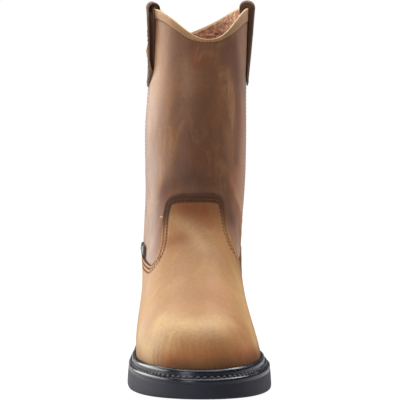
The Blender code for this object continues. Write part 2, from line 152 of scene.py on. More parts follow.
# Tread: middles of the grooves across the forefoot and the heel
FOREFOOT_GROOVES = (176.0, 196.0, 216.0, 236.0, 256.0, 276.0)
HEEL_GROOVES = (22.0, 42.0, 62.0)
GROOVE_WIDTH, GROOVE_DEPTH = 7.0, 4.0
TREAD_RIM = 11.0  # solid rim of the tread round the grooves
HEEL_BREAST = 80.0  # the heel's front

# Soft troughs and ridges of the leather: points on the leather, half width, height (minus is a trough)
CREASES = (
    (((26.0, 129.0, 153.0), (29.1, 124.1, 145.1), (31.1, 120.4, 140.0), (32.6, 116.8, 135.8), (34.1, 111.5, 130.6),
      (34.4, 104.0, 122.0)), 3.0, 0.8),
    (((22.0, 134.0, 148.0), (25.5, 130.0, 138.0), (29.0, 125.0, 128.0), (31.0, 121.0, 116.0)), 5.0, -0.5),
    (((34.2, 108.0, 110.0), (34.0, 116.0, 102.0)), 7.0, 1.1),
    (((-36.0, 226.0, 62.0), (-14.0, 240.0, 73.0), (12.0, 240.0, 72.0), (28.0, 228.0, 60.0)), 9.0, -0.9),
    (((-24.0, 206.0, 80.0), (0.0, 212.0, 86.0), (20.0, 204.0, 80.0)), 8.0, -0.5),
    (((-30.0, 273.0, 50.0), (2.0, 287.0, 54.0), (28.0, 272.0, 49.0)), 9.0, 1.3),
    (((-24.0, 150.0, 150.0), (-4.0, 158.0, 156.0), (16.0, 152.0, 152.0)), 8.0, -0.8),
    (((-34.0, 122.0, 176.0), (-12.0, 142.0, 168.0), (14.0, 141.0, 172.0)), 12.0, -0.7),
    (((-30.0, 126.0, 205.0), (4.0, 140.0, 198.0), (26.0, 128.0, 210.0)), 14.0, 0.7),
    (((-44.0, 70.0, 150.0), (-45.0, 60.0, 190.0), (-43.0, 66.0, 225.0)), 16.0, -0.8),
    (((-5.0, 12.0, 128.0), (-24.0, 22.0, 122.0)), 7.0, -0.9),
    (((-5.0, 12.0, 128.0), (14.0, 22.0, 122.0)), 7.0, -0.9),
    (((-5.0, 11.0, 142.0), (-26.0, 22.0, 138.0)), 8.0, 0.5),
    (((-32.0, 270.0, 37.0), (-32.2, 271.0, 25.0)), 1.2, -0.4),
    (((-29.0, 275.5, 36.0), (-29.3, 276.5, 25.0)), 1.1, -0.45),
    (((-25.6, 280.5, 34.0), (-26.0, 281.5, 25.0)), 1.2, -0.35),
)

# Patches and strokes of tone as in the photo: what it does, points on the leather, half width, strength. Pale strokes
# on ridges, edges and the toe are painted highlights, and some dark and flush patches are painted shade.
RIDGE = ((29.1, 124.1, 145.1), (31.1, 120.4, 140.0), (32.6, 116.8, 135.8), (34.1, 111.5, 130.6))
BESIDE_TONGUE_OUT = ((-27.7, 132.7, 175.1), (-30.2, 136.4, 150.5), (-32.4, 147.8, 122.5), (-34.7, 156.7, 107.6))
BESIDE_TONGUE_IN = ((24.0, 135.6, 138.5), (26.5, 136.0, 127.1), (29.9, 134.8, 112.0), (32.3, 128.9, 99.9))
INNER_STRIP = (
    (27.9, 123.9, 268.0), (30.7, 116.1, 235.5), (31.7, 114.0, 206.2), (29.9, 118.6, 173.7), (28.0, 126.0, 156.0),
)
TOE_SWOOSH = ((-22.7, 285.0, 35.5), (-10.3, 293.0, 40.0), (7.2, 295.0, 40.5), (29.1, 275.0, 37.0), (41.3, 242.0, 30.5))
INNER_ANKLE = ((31.4, 123.0, 128.0), (33.0, 118.0, 117.0), (34.0, 114.0, 107.0))
INNER_FLANK = ((31.3, 171.5, 75.9), (33.5, 188.6, 66.0), (35.7, 204.7, 57.1), (38.1, 219.1, 48.1), (40.7, 225.3, 39.7))
TONGUE_SPOT = ((-21.4, 169.9, 111.2), (-13.8, 171.8, 113.8))
INNER_TOE = ((12.0, 232.0, 74.0), (22.0, 240.0, 66.0), (30.0, 240.0, 58.0))
TOE_CORNER = ((23.4, 268.3, 53.0), (29.5, 259.4, 49.6))
SHAFT_TONES = (
    ("flush_and_shade", ((-5.6, 136.6, 268.4), (-2.2, 137.9, 255.1)), 5.0, 0.9),
    ("wear_and_highlight", ((-11.2, 135.3, 251.8), (-11.1, 136.4, 237.7)), 6.0, 0.16),
    ("dark", INNER_STRIP[:4], 5.5, 0.36),
    ("flush_and_shade", INNER_STRIP, 6.0, 0.45),
    ("dark", ((2.6, 139.5, 219.9), (1.8, 140.7, 198.7)), 8.0, 0.3),
    ("flush_and_shade", ((-10.4, 140.3, 193.5), (-9.7, 142.3, 179.0), (5.1, 141.5, 180.4)), 6.0, 0.35),
    # The next two: painted shadow just above the top of the tongue.
    ("dark", ((-16.2, 141.3, 172.3), (-11.3, 144.0, 167.6)), 6.0, 0.2),
    ("dark", ((-21.1, 142.8, 155.7), (-4.0, 147.1, 158.8), (13.3, 141.8, 155.6)), 7.0, 0.45),
    ("flush_and_shade", BESIDE_TONGUE_OUT[1:], 6.5, 0.85),
    ("dark", BESIDE_TONGUE_OUT[1:3], 5.0, 0.2),
    ("dark", INNER_ANKLE, 6.0, 0.16),
    ("flush_and_shade", INNER_ANKLE, 7.0, 0.7),
    # The next three: painted shade, dark and reddish, between the tongue's inner edge and the ridge.
    ("dark", BESIDE_TONGUE_IN[:2], 6.0, 0.4),
    ("dark", BESIDE_TONGUE_IN[1:3], 5.0, 0.14),
    ("flush_and_shade", BESIDE_TONGUE_IN[:3], 6.0, 0.5),
    # painted highlight towards the edge of the inner side
    ("wear_and_highlight", BESIDE_TONGUE_IN[2:], 6.5, 0.34),
    # painted highlight: a sheen high on the outer side
    ("wear_and_highlight", ((-37.0, 113.0, 262.0), (-39.5, 118.0, 232.0)), 6.5, 0.3),
    # painted highlight along the crest of the ridge
    ("wear_and_highlight", RIDGE, 1.3, 0.5),
)
VAMP_TONES = (
    ("flush_and_shade", ((-12.1, 155.6, 135.9), (-0.3, 155.7, 136.5), (9.6, 159.6, 123.8)), 5.0, 0.6),
    ("flush_and_shade", TONGUE_SPOT, 5.0, 0.5),
    ("dark", TONGUE_SPOT, 5.0, 0.25),
    ("wear_and_highlight", ((-18.3, 157.0, 129.4), (-7.8, 167.1, 120.6), (2.0, 178.7, 107.7)), 4.0, 0.3),
    # painted highlight along the crest of the toe puff
    ("wear_and_highlight", ((-29.3, 253.7, 57.8), (-16.0, 272.0, 58.5), (-2.9, 280.7, 57.6), (23.3, 263.8, 55.3)), 7.0, 0.42),
    ("flush_and_shade", ((-14.0, 152.0, 140.0), (0.0, 155.0, 138.0), (14.0, 150.0, 138.0)), 8.0, 0.45),
    ("flush_and_shade", INNER_TOE, 9.0, 0.3),
    ("dark", INNER_TOE, 9.0, 0.06),
    # painted shade: the darker, redder arc where the toe turns down to the front
    ("flush_and_shade", TOE_SWOOSH, 5.5, 0.9),
    # painted highlight along the inner flank
    ("wear_and_highlight", INNER_FLANK, 9.0, 0.4),
    # painted highlight on the outer side of the toe
    ("wear_and_highlight", ((-34.0, 262.0, 42.0), (-24.0, 280.0, 42.0)), 6.0, 0.22),
    ("wear_and_highlight", TOE_SWOOSH[1:4], 7.0, 0.12),
    # painted highlight low on the outer side
    ("wear_and_highlight", ((-45.1, 221.0, 43.2), (-39.8, 250.7, 36.3), (-36.4, 261.2, 32.1)), 6.0, 0.45),
    ("flush_and_shade", ((11.9, 215.4, 80.2), (19.4, 213.7, 76.3)), 8.0, 0.3),
    ("flush_and_shade", TOE_CORNER, 6.0, 0.5),
    ("dark", ((33.5, 147.0, 96.0), (34.0, 142.0, 88.5), (34.5, 132.0, 88.0)), 2.2, 0.9),
    ("dark", ((-18.9, 288.5, 33.9), (-9.8, 294.7, 33.3)), 4.0, 0.2),
    ("dark", TOE_CORNER, 4.0, 0.2),
)


# ---------------------------------------------------------------- the form of the foot and leg

def ease(share):
    """A soft step from 0 to 1."""
    share = np.clip(share, 0, 1)
    return share * share * (3 - 2 * share)


def bell(distance, width):
    """A soft bump that is 1 in its middle."""
    return np.exp(-0.5 * (distance / width) ** 2)


def unit(vectors):
    return vectors / np.maximum(np.linalg.norm(vectors, axis=-1, keepdims=True), 1e-9)


def closer_at_ends(count, turn=math.pi):
    """Shares from 0 to 1 that lie closer together at the ends; a quarter turn leaves the far end even."""
    shares = 1 - np.cos(np.linspace(0, turn, count))
    return shares / shares[-1]


def smooth(places, values):
    """A curve through a short table that does not overshoot, level at both ends."""
    places = np.asarray(places, float)
    values = np.asarray(values, float)
    step = np.diff(places)
    rise = np.diff(values) / step
    slope = np.zeros_like(values)
    same = rise[:-1] * rise[1:] > 0
    near, far = 2 * step[1:] + step[:-1], step[1:] + 2 * step[:-1]
    safe = np.where(same, rise[:-1], 1.0), np.where(same, rise[1:], 1.0)
    slope[1:-1] = np.where(same, (near + far) / (near / safe[0] + far / safe[1]), 0.0)

    def curve(at):
        at = np.clip(np.asarray(at, float), places[0], places[-1])
        k = np.clip(np.searchsorted(places, at, side="right") - 1, 0, len(step) - 1)
        t = (at - places[k]) / step[k]
        keep = (1 + 2 * t) * (1 - t) ** 2
        return (keep * values[k] + (1 - keep) * values[k + 1]
                + step[k] * t * (1 - t) * ((1 - t) * slope[k] - t * slope[k + 1]))

    return curve


sole_under = smooth(SIDE_LINE[:, 0], SIDE_LINE[:, 1])
sole_top = smooth(SIDE_LINE[:, 0], SIDE_LINE[:, 2])
SECTION_CURVES = [smooth(range(len(SECTIONS)), column) for column in zip(*SECTIONS)]


def section_at(place):
    return Section(*(float(curve(place)) for curve in SECTION_CURVES))


def bed_dip(section, along):
    """How far the sole's top lies over the straight line between the ring's ends."""
    ends = np.clip((section.back, section.front), 0.0, SOLE_LENGTH)
    return sole_top(along) - np.interp(along, ends, sole_top(ends))


def half_ring(section, side):
    """Dense points of one side of a ring, from its back to its front; side is -1 outside, +1 inside."""
    share = closer_at_ends(DENSE)
    ball_at = section.ball_at + side * section.ball_skew
    middle = (section.heel_at + ball_at) / 2
    if side < 0:
        widths = -section.heel_out, -section.waist_out, -section.ball_out
    else:
        widths = section.heel_in, section.waist_in, section.ball_in
    flank = smooth((section.heel_at, middle, ball_at), widths)(share)
    to_back = np.clip((section.heel_at - share) / section.heel_at, 0, 1)
    to_front = np.clip((share - ball_at) / (1 - ball_at), 0, 1)
    cap = np.sqrt(1 - to_back ** 2) * (1 - to_front ** section.toe_power) ** (1 / section.toe_power)
    tip = np.where(share < middle, section.back_across, section.front_across)
    along = section.back + share * (section.front - section.back)
    up = section.back_up + share * (section.front_up - section.back_up)
    behind = cap ** (SCALLOP_BACK[0] + SCALLOP_BACK[1] * cap)
    climb = ease(np.where(share < middle, behind, cap if side < 0 else cap ** SCALLOP_LATE))
    dipped = np.sqrt(climb ** 2 + SCALLOP_DIP ** 2 * (1 - climb)) - SCALLOP_DIP * (1 - climb)
    climb = np.where(share < middle, dipped, climb)
    up = up + section.bed_share * bed_dip(section, along) + section.scallop * climb
    return np.column_stack((tip + (flank - tip) * cap, along, up))


def run(line):
    """Length along a line of points, from its start."""
    return np.concatenate(([0.0], np.cumsum(np.linalg.norm(np.diff(line, axis=0), axis=1))))


def even(line, count):
    """Points of a line at equal distances."""
    length = run(line)
    return np.column_stack([np.interp(np.linspace(0, length[-1], count), length, part) for part in line.T])


def ring(section, count):
    """A closed ring from the back, round the outer side to the front and back along the inner side."""
    return np.vstack((even(half_ring(section, -1), count), even(half_ring(section, 1), count)[-2::-1]))


def soften(table, steps, closed):
    """Smooths a table down its first axis. An open one keeps its ends."""
    reach = 3 * steps
    weights = bell(np.arange(-reach, reach + 1), steps)
    weights /= weights.sum()
    if closed:
        padded = np.concatenate((table[-reach - 1:-1], table, table[1:reach + 1]))
    else:
        padded = np.concatenate((2 * table[:1] - table[reach:0:-1], table, 2 * table[-1:] - table[-2:-reach - 2:-1]))
    return sum(weight * padded[k:k + len(table)] for k, weight in enumerate(weights))


LEVELS = 600  # rows of the form from the feather edge to the collar
HALF = 600  # columns of the form from the back to the front
OUTER_SIDE, INNER_SIDE = HALF // 2, HALF + HALF // 2  # columns halfway along each side
PLACES = np.linspace(0, TOP, LEVELS + 1)
FORM = soften(np.array([ring(section_at(place), HALF + 1) for place in PLACES]), 9, False)
FORM = soften(FORM.transpose(1, 0, 2), 5, True).transpose(1, 0, 2)
RISE = unit(np.gradient(FORM, axis=0))
TURN = np.concatenate((FORM[:, -2:-1], FORM, FORM[:, 1:2]), axis=1)
TURN = unit(TURN[:, 2:] - TURN[:, :-2])
OUTWARD = unit(np.cross(RISE, TURN))
STEP = np.linalg.norm(np.gradient(FORM, axis=0), axis=-1) / (PLACES[1] - PLACES[0])  # mm for each place
BELOW = np.concatenate((np.cumsum(np.linalg.norm(np.diff(FORM, axis=0), axis=-1)[::-1], axis=0)[::-1],
                        np.zeros((1, 2 * HALF + 1))))  # distance under the collar's edge


def sample(table, place, around):
    """Reads a table of the form between its points."""
    row = np.clip(np.asarray(place) / TOP * LEVELS, 0, LEVELS - 1e-4)
    column = np.mod(around, 2) * HALF
    r, c = row.astype(int), column.astype(int)
    down, over = row - r, column - c
    if table.ndim == 3:
        down, over = down[..., None], over[..., None]
    return ((1 - down) * ((1 - over) * table[r, c] + over * table[r, c + 1])
            + down * ((1 - over) * table[r + 1, c] + over * table[r + 1, c + 1]))


def skin(place, around, out, rise=0.0):
    """Points over the form: out from its surface, and up along it."""
    place, around = np.broadcast_arrays(np.asarray(place, float), np.asarray(around, float))
    out = np.broadcast_to(out, place.shape)[..., None]
    rise = np.broadcast_to(rise, place.shape)[..., None]
    return (sample(FORM, place, around) + unit(sample(OUTWARD, place, around)) * out
            + unit(sample(RISE, place, around)) * rise)


def line_distance(points, line):
    """Distance of points from a line of straight pieces."""
    best = np.full(points.shape[:-1], 1e9)
    for start, end in zip(line[:-1], line[1:]):
        step = end - start
        size = float(step @ step)
        if size < 1e-9:
            continue
        t = np.clip(((points - start) @ step) / size, 0, 1)
        best = np.minimum(best, np.linalg.norm(points - start - t[..., None] * step, axis=-1))
    return best


def creases(points):
    """Height of the leather's soft troughs and ridges, and a slow unevenness."""
    total = np.zeros(points.shape[:-1])
    for line, width, height in CREASES:
        total += height * bell(line_distance(points, np.array(line)), width)
    x, y, z = points[..., 0], points[..., 1], points[..., 2]
    slow = np.sin(x / 17 + 1.3 * np.sin(z / 31)) * np.sin(y / 23 + 0.8) + 0.6 * np.sin(z / 19 + x / 29 + y / 41)
    return total + 0.16 * slow


def tones(points, table, kind):
    """Strength of one kind of tone from a table of patches and strokes."""
    total = np.zeros(points.shape[:-1])
    for which, line, width, strength in table:
        if which == kind:
            total += strength * bell(line_distance(points, np.array(line)), width)
    return total


def half_form(side):
    """One side of the form, each row from the back to the front."""
    return FORM[:, :HALF + 1] if side < 0 else FORM[:, :HALF - 1:-1]


def side_share(along, side):
    """For each place, the share of the half ring (from the back) where it passes a point along the sole."""
    shares = np.linspace(0, 1, HALF + 1)
    along = np.broadcast_to(along, len(PLACES))
    return np.array([np.interp(at, row[:, 1], shares) for at, row in zip(along, half_form(side))])


def rounded(line, rounds=3):
    """Cuts the corners of a line again and again."""
    line = np.asarray(line, float)
    for _ in range(rounds):
        near, far = 0.75 * line[:-1] + 0.25 * line[1:], 0.25 * line[:-1] + 0.75 * line[1:]
        line = np.vstack((line[:1], np.stack((near, far), axis=1).reshape(-1, 2), line[-1:]))
    return line


def seam_places(edge, columns):
    """Place where each column of the form passes the edge of a panel drawn in side view."""
    edge = rounded(edge)
    outline = np.vstack((edge, ((edge[-1, 0], -20.0), (edge[0, 0], -20.0))))
    along, up = FORM[:, columns, 1], FORM[:, columns, 2]
    inside = np.zeros(along.shape, bool)
    for (x1, y1), (x2, y2) in zip(outline, np.roll(outline, -1, axis=0)):
        if y1 != y2:
            inside ^= ((y1 > up) != (y2 > up)) & (along < (x2 - x1) * (up - y1) / (y2 - y1) + x1)
    row = np.clip(np.argmin(inside, axis=0), 1, len(PLACES) - 1)
    pick = np.arange(along.shape[1])
    before = line_distance(np.column_stack((along[row - 1, pick], up[row - 1, pick])), edge)
    after = line_distance(np.column_stack((along[row, pick], up[row, pick])), edge)
    return PLACES[row - 1] + (PLACES[1] - PLACES[0]) * before / np.maximum(before + after, 1e-9)


def above_wings(points):
    """Share that grows from 0 to 1 where the shaft comes out of the wings and the counter."""
    return np.clip((points[..., 2] - 92) / 8, 0, 1)


def nearest_skin(points):
    """The form's surface nearest to some points, and its direction outwards there."""
    jump = 8
    coarse = FORM[::jump, ::jump]
    flat = coarse.reshape(-1, 3)
    near = np.arange(-jump, jump + 1)
    base, away = [], []
    for point in points:
        row, column = divmod(int(np.argmin(((flat - point) ** 2).sum(axis=1))), coarse.shape[1])
        rows = np.clip(row * jump + near, 0, LEVELS)
        columns = np.mod(column * jump + near, 2 * HALF)
        patch = FORM[np.ix_(rows, columns)]
        i, j = np.unravel_index(np.argmin(((patch - point) ** 2).sum(axis=2)), patch.shape[:2])
        normal = OUTWARD[rows[i], columns[j]]
        base.append(point - ((point - patch[i, j]) @ normal) * normal)
        away.append(normal)
    return np.array(base), np.array(away)


# ---------------------------------------------------------------- making pieces

def metres(points):
    points = np.asarray(points, float)
    return np.stack((points[..., 0], SOLE_LENGTH / 2 - points[..., 1], points[..., 2]), axis=-1) / 1000


def place_in_scene(name, data):
    made = bpy.data.objects.new(name, data)
    bpy.context.scene.collection.objects.link(made)
    return made


def add_piece(name, shape, materials, nodes=(), crisp=50):
    """Puts a finished shape into the boot."""
    mesh = bpy.data.meshes.new(name)
    shape.to_mesh(mesh)
    shape.free()
    for material in materials:
        mesh.materials.append(material)
    mesh.shade_smooth()
    mesh.set_sharp_from_angle(angle=math.radians(crisp))
    piece = place_in_scene(name, mesh)
    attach(piece, "root")
    if nodes:
        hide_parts(*nodes)


def bent_grid(points, marks=None, paint=None):
    """A grid bent to a table of points. Edges that meet are joined, and what stays open is closed."""
    rows, columns = points.shape[:2]
    shape = bmesh.new()
    marks = marks or {}
    layers = {mark: shape.verts.layers.float.new(mark) for mark in marks}
    bmesh.ops.create_grid(shape, x_segments=columns - 1, y_segments=rows - 1, size=0.5)
    for vert, place in zip(shape.verts, metres(points).reshape(-1, 3)):
        vert.co = place
    for mark, values in marks.items():
        layer = layers[mark]
        for vert, value in zip(shape.verts, np.broadcast_to(values, (rows, columns)).ravel()):
            vert[layer] = value
    if paint is not None:
        for face, index in zip(shape.faces, np.broadcast_to(paint, (rows - 1, columns - 1)).ravel()):
            face.material_index = int(index)
    bmesh.ops.remove_doubles(shape, verts=shape.verts, dist=1e-6)
    bmesh.ops.dissolve_degenerate(shape, edges=shape.edges, dist=2e-7)
    gaps = [edge for edge in shape.edges if edge.is_boundary]
    if gaps:
        bmesh.ops.holes_fill(shape, edges=gaps, sides=0)
    bmesh.ops.recalc_face_normals(shape, faces=shape.faces)
    return shape


def stitch_row(line, pitch, ends=1.0):
    """Middles and directions of stitches along a line."""
    length = run(line)
    count = max(int((length[-1] - 2 * ends) / pitch), 1)
    at = np.linspace(ends, length[-1] - ends, count)
    middles, ahead, behind = (np.column_stack([np.interp(at + step, length, part) for part in line.T])
                              for step in (0.0, 0.6, -0.6))
    return middles, unit(ahead - behind)


def sew(shape, middles, directions, away, size, paint=0):
    """Adds one rounded stitch at each place: size is its length, width and height."""
    length, width, height = size
    row = bmesh.new()
    for middle, direction, outward in zip(middles, directions, away):
        centre = Vector(metres(middle))
        forward = (Vector(metres(middle + direction)) - centre).normalized()
        outside = (Vector(metres(middle + outward)) - centre).normalized()
        side = outside.cross(forward).normalized()
        outside = forward.cross(side)
        turn = Matrix((side * width, outside * height, forward * length)).transposed().to_4x4()
        turn = Matrix.Translation(centre) @ turn @ Matrix.Diagonal((HALF_MM, HALF_MM, HALF_MM, 1.0))
        bmesh.ops.create_uvsphere(row, u_segments=6, v_segments=5, radius=1.0, matrix=turn)
    for face in row.faces:
        face.material_index = paint
    mesh = bpy.data.meshes.new("row")
    row.to_mesh(mesh)
    row.free()
    shape.from_mesh(mesh)
    bpy.data.meshes.remove(mesh)


def sew_on_skin(shape, line, out, size):
    """A row of stitches along a line that lies on the form: darker thread above as painted shade, brown and wider
    below.
    """
    middles, directions = stitch_row(line, STITCH_PITCH)
    base, away = nearest_skin(middles)
    base = base + away * (out + creases(base))[:, None]
    high = base[:, 2] > np.where(base[:, 0] < 0, DARK_THREAD_OUT, DARK_THREAD_IN)
    wider = size[0], LOW_STITCH_WIDTH * size[1], size[2]
    sew(shape, base[high], directions[high], away[high], size)
    sew(shape, base[~high], directions[~high], away[~high], wider, 1)


# ---------------------------------------------------------------- finishes

class Finish:
    """Small helper that adds and joins the nodes of one material or group."""

    def __init__(self, tree):
        self.tree = tree

    def add(self, kind, inputs=None, **settings):
        made = self.tree.nodes.new(kind)
        for key, value in settings.items():
            setattr(made, key, value)
        for key, value in (inputs or {}).items():
            self.join(value, made.inputs[key])
        return made

    def join(self, value, socket):
        """Feeds a socket with a fixed value or with what another node gives."""
        if isinstance(value, bpy.types.NodeSocket):
            self.tree.links.new(value, socket)
        else:
            socket.default_value = value

    def noise(self, where, scale, detail=3.0, rough=0.55, warp=0.0):
        made = self.add("ShaderNodeTexNoise", {"Vector": where, "Scale": scale, "Detail": detail,
                                               "Roughness": rough, "Distortion": warp})
        return made.outputs["Fac"]

    def spread(self, value, low, high, to_low=0.0, to_high=1.0):
        made = self.add("ShaderNodeMapRange", {"Value": value, "From Min": low, "From Max": high,
                                               "To Min": to_low, "To Max": to_high})
        made.interpolation_type = "SMOOTHSTEP"
        return made.outputs["Result"]

    def times(self, first, second, clamp=False):
        made = self.add("ShaderNodeMath", {0: first, 1: second}, operation="MULTIPLY", use_clamp=clamp)
        return made.outputs["Value"]

    def plus(self, total, *others, clamp=False):
        for k, other in enumerate(others):
            last = k == len(others) - 1
            made = self.add("ShaderNodeMath", {0: total, 1: other}, operation="ADD", use_clamp=clamp and last)
            total = made.outputs["Value"]
        return total

    def places(self):
        return self.add("ShaderNodeTexCoord").outputs["Object"]

    def seen_as(self, lighting, seen, socket):
        """One strength for the light that is given off, another for what the camera sees."""
        path = self.add("ShaderNodeLightPath").outputs["Is Camera Ray"]
        self.join(self.spread(path, 0.0, 1.0, lighting, seen), socket)

    def mix(self, share, first, second, kind="MIX"):
        made = self.add("ShaderNodeMix", {6: first, 7: second, "Factor": share}, data_type="RGBA", blend_type=kind)
        return made.outputs[2]


COLOR, NUMBER = "NodeSocketColor", "NodeSocketFloat"


def node_group(name, inputs):
    """A group of nodes that gives a surface its colour, roughness and relief."""
    group = bpy.data.node_groups.new(name, "ShaderNodeTree")
    for label, kind, value in inputs:
        socket = group.interface.new_socket(label, in_out="INPUT", socket_type=kind)
        socket.default_value = value
    for label, kind in (("Color", COLOR), ("Roughness", NUMBER), ("Height", NUMBER)):
        group.interface.new_socket(label, in_out="OUTPUT", socket_type=kind)
    finish = Finish(group)
    return group, finish, finish.add("NodeGroupInput").outputs, finish.add("NodeGroupOutput").inputs


def color(red, green, blue):
    """A colour from its usual 0 to 255 values."""
    def level(value):
        value /= 255
        return value / 12.92 if value <= 0.04045 else ((value + 0.055) / 1.055) ** 2.4
    return level(red), level(green), level(blue), 1.0


def waxed_leather_group():
    """Oiled leather: cloudy tone, pale pulled-up patches, short nap, pores and fine wrinkles."""
    group, finish, given, result = node_group(
        "waxed_leather",
        (("Deep", COLOR, color(92, 62, 46)), ("Warm", COLOR, color(140, 94, 62)), ("Pale", COLOR, color(184, 142, 100)),
         ("Cloud", NUMBER, 1.0), ("Wear_And_Highlight", NUMBER, 0.0), ("Dark", NUMBER, 0.0), ("Flush_And_Shade", NUMBER, 0.0),
         ("Gloss", NUMBER, 0.5)),
    )
    where = finish.places()
    tall = finish.add("ShaderNodeMapping", {"Vector": where, "Scale": (1.0, 1.0, 0.45)}).outputs["Vector"]
    clouds = finish.noise(tall, 21.0, 3.0, 0.5, 0.5)
    patches = finish.noise(tall, 64.0, 5.0, 0.6, 0.8)
    specks = finish.noise(where, 420.0, 3.0, 0.6)
    nap = finish.noise(where, 1500.0, 2.0, 0.5)
    streaks = finish.noise(tall, 130.0, 3.0, 0.6, 1.2)
    pores = finish.add("ShaderNodeTexVoronoi", {"Vector": where, "Scale": 1150.0}, feature="F1").outputs["Distance"]
    wrinkles = finish.add("ShaderNodeTexVoronoi", {"Vector": where, "Scale": 420.0},
                          feature="DISTANCE_TO_EDGE").outputs["Distance"]
    warm = finish.times(finish.spread(clouds, 0.36, 0.66), given["Cloud"], True)
    tone = finish.mix(warm, given["Deep"], given["Warm"])
    pale = finish.plus(finish.times(finish.spread(patches, 0.5, 0.78), 0.42),
                       finish.times(finish.spread(streaks, 0.55, 0.8), 0.22))
    # Wear_And_Highlight mixes towards Pale: real wear, and painted highlights where the tables put them.
    wear_and_highlight = finish.times(given["Wear_And_Highlight"], finish.spread(specks, 0.2, 0.75, 0.8, 1.0))
    pale = finish.plus(finish.times(pale, given["Cloud"]), wear_and_highlight, clamp=True)
    tone = finish.mix(pale, tone, given["Pale"])
    # Dark goes to a darker, cooler Deep; the blue in its tint is a painted reflection.
    tone = finish.mix(given["Dark"], tone, finish.mix(1.0, given["Deep"], color(128, 128, 156), "MULTIPLY"))
    # Flush_And_Shade reddens and darkens: the leather's own flush, and painted shade where the tables put it.
    tone = finish.mix(given["Flush_And_Shade"], tone, finish.mix(1.0, tone, color(248, 208, 192), "MULTIPLY"))
    shade = finish.times(finish.spread(specks, 0.25, 0.75, 0.92, 1.06), finish.spread(nap, 0.2, 0.8, 0.93, 1.06))
    shaded = finish.add("ShaderNodeVectorMath", {0: tone, "Scale": shade}, operation="SCALE")
    finish.join(shaded.outputs["Vector"], result["Color"])
    rough = finish.plus(
        given["Gloss"], finish.spread(patches, 0.3, 0.75, -0.07, 0.08), finish.spread(specks, 0.25, 0.75, -0.05, 0.06),
        finish.times(given["Dark"], 0.35), finish.times(given["Flush_And_Shade"], 0.12), clamp=True)
    finish.join(rough, result["Roughness"])
    height = finish.plus(
        finish.times(finish.spread(pores, 0.0, 0.5), 0.45), finish.times(finish.spread(wrinkles, 0.0, 0.16), 0.22),
        finish.times(nap, 0.5), finish.times(specks, 0.4))
    finish.join(height, result["Height"])
    return group


def rubber_group():
    """Moulded rubber: even charcoal with a faint bloom and a fine moulded skin."""
    group, finish, given, result = node_group(
        "moulded_rubber",
        (("Deep", COLOR, color(40, 40, 44)), ("Bloom", COLOR, color(78, 78, 84)), ("Gloss", NUMBER, 0.5)),
    )
    where = finish.places()
    bloom = finish.noise(where, 34.0, 4.0, 0.6, 0.4)
    dust = finish.noise(where, 620.0, 3.0, 0.6)
    skin_grain = finish.noise(where, 2100.0, 2.0, 0.5)
    share = finish.plus(finish.times(finish.spread(bloom, 0.4, 0.75), 0.35),
                        finish.times(finish.spread(dust, 0.58, 0.8), 0.3), clamp=True)
    finish.join(finish.mix(share, given["Deep"], given["Bloom"]), result["Color"])
    rough = finish.plus(given["Gloss"], finish.spread(bloom, 0.3, 0.75, -0.06, 0.08),
                        finish.spread(dust, 0.3, 0.75, -0.03, 0.05))
    finish.join(rough, result["Roughness"])
    height = finish.plus(finish.times(skin_grain, 0.7), finish.times(dust, 0.5))
    finish.join(height, result["Height"])
    return group


def fabric_group():
    """Napped lining: soft tufts with paler fibres."""
    group, finish, given, result = node_group(
        "napped_fabric",
        (("Deep", COLOR, color(104, 62, 40)), ("Warm", COLOR, color(176, 112, 74)),
         ("Fleck", COLOR, color(214, 176, 156)), ("Tufts", NUMBER, 420.0)),
    )
    where = finish.places()
    tufts = finish.add("ShaderNodeTexVoronoi", {"Vector": where, "Scale": given["Tufts"], "Randomness": 1.0},
                       feature="SMOOTH_F1").outputs["Distance"]
    fibres = finish.noise(where, 1300.0, 3.0, 0.65, 1.5)
    clouds = finish.noise(where, 90.0, 4.0, 0.65)
    tone = finish.mix(finish.spread(clouds, 0.3, 0.7), given["Deep"], given["Warm"])
    tone = finish.mix(finish.spread(fibres, 0.5, 0.66), tone, given["Fleck"])
    tone = finish.mix(finish.spread(tufts, 0.35, 0.75, 0.0, 0.7), tone, given["Deep"])
    finish.join(tone, result["Color"])
    finish.join(finish.spread(fibres, 0.3, 0.7, 0.85, 1.0), result["Roughness"])
    height = finish.plus(finish.spread(tufts, 0.1, 0.75, 1.0, 0.0), finish.times(fibres, 0.7))
    finish.join(height, result["Height"])
    return group


def finished(name, group, values, bump, distance, marks=(), **constants):
    """A material from one of the groups. marks: what follows the piece's own attributes of those names."""
    material = bpy.data.materials.new(name)
    material.use_nodes = True
    finish = Finish(material.node_tree)
    shader = material.node_tree.nodes["Principled BSDF"]
    made = finish.add("ShaderNodeGroup", node_tree=group)
    for label, value in values.items():
        made.inputs[label].default_value = value
    for mark in marks:
        finish.join(finish.add("ShaderNodeAttribute", attribute_name=mark).outputs["Fac"], made.inputs[mark.title()])
    relief = finish.add("ShaderNodeBump", {"Strength": bump, "Distance": distance, "Height": made.outputs["Height"]})
    finish.join(made.outputs["Color"], shader.inputs["Base Color"])
    finish.join(made.outputs["Roughness"], shader.inputs["Roughness"])
    finish.join(relief.outputs["Normal"], shader.inputs["Normal"])
    for socket, value in constants.items():
        shader.inputs[socket.replace("_", " ")].default_value = value
    return material


LEATHER = waxed_leather_group()
RUBBER = rubber_group()
FABRIC = fabric_group()

# Marks the leather follows: wear with painted highlights, dark tone with painted shade, and flush with painted shade.
MARKS = ("wear_and_highlight", "dark", "flush_and_shade")


def leather(name, deep, warm, pale, cloud, gloss, bump, distance=0.0005, marks=MARKS, **constants):
    values = {"Deep": color(*deep), "Warm": color(*warm), "Pale": color(*pale), "Cloud": cloud, "Gloss": gloss}
    return finished(name, LEATHER, values, bump, distance, marks, **constants)


def napped(name, deep, warm, fleck, tufts=2600.0, bump=0.5, distance=0.0003):
    values = {"Deep": color(*deep), "Warm": color(*warm), "Fleck": color(*fleck), "Tufts": tufts}
    return finished(name, FABRIC, values, bump, distance)


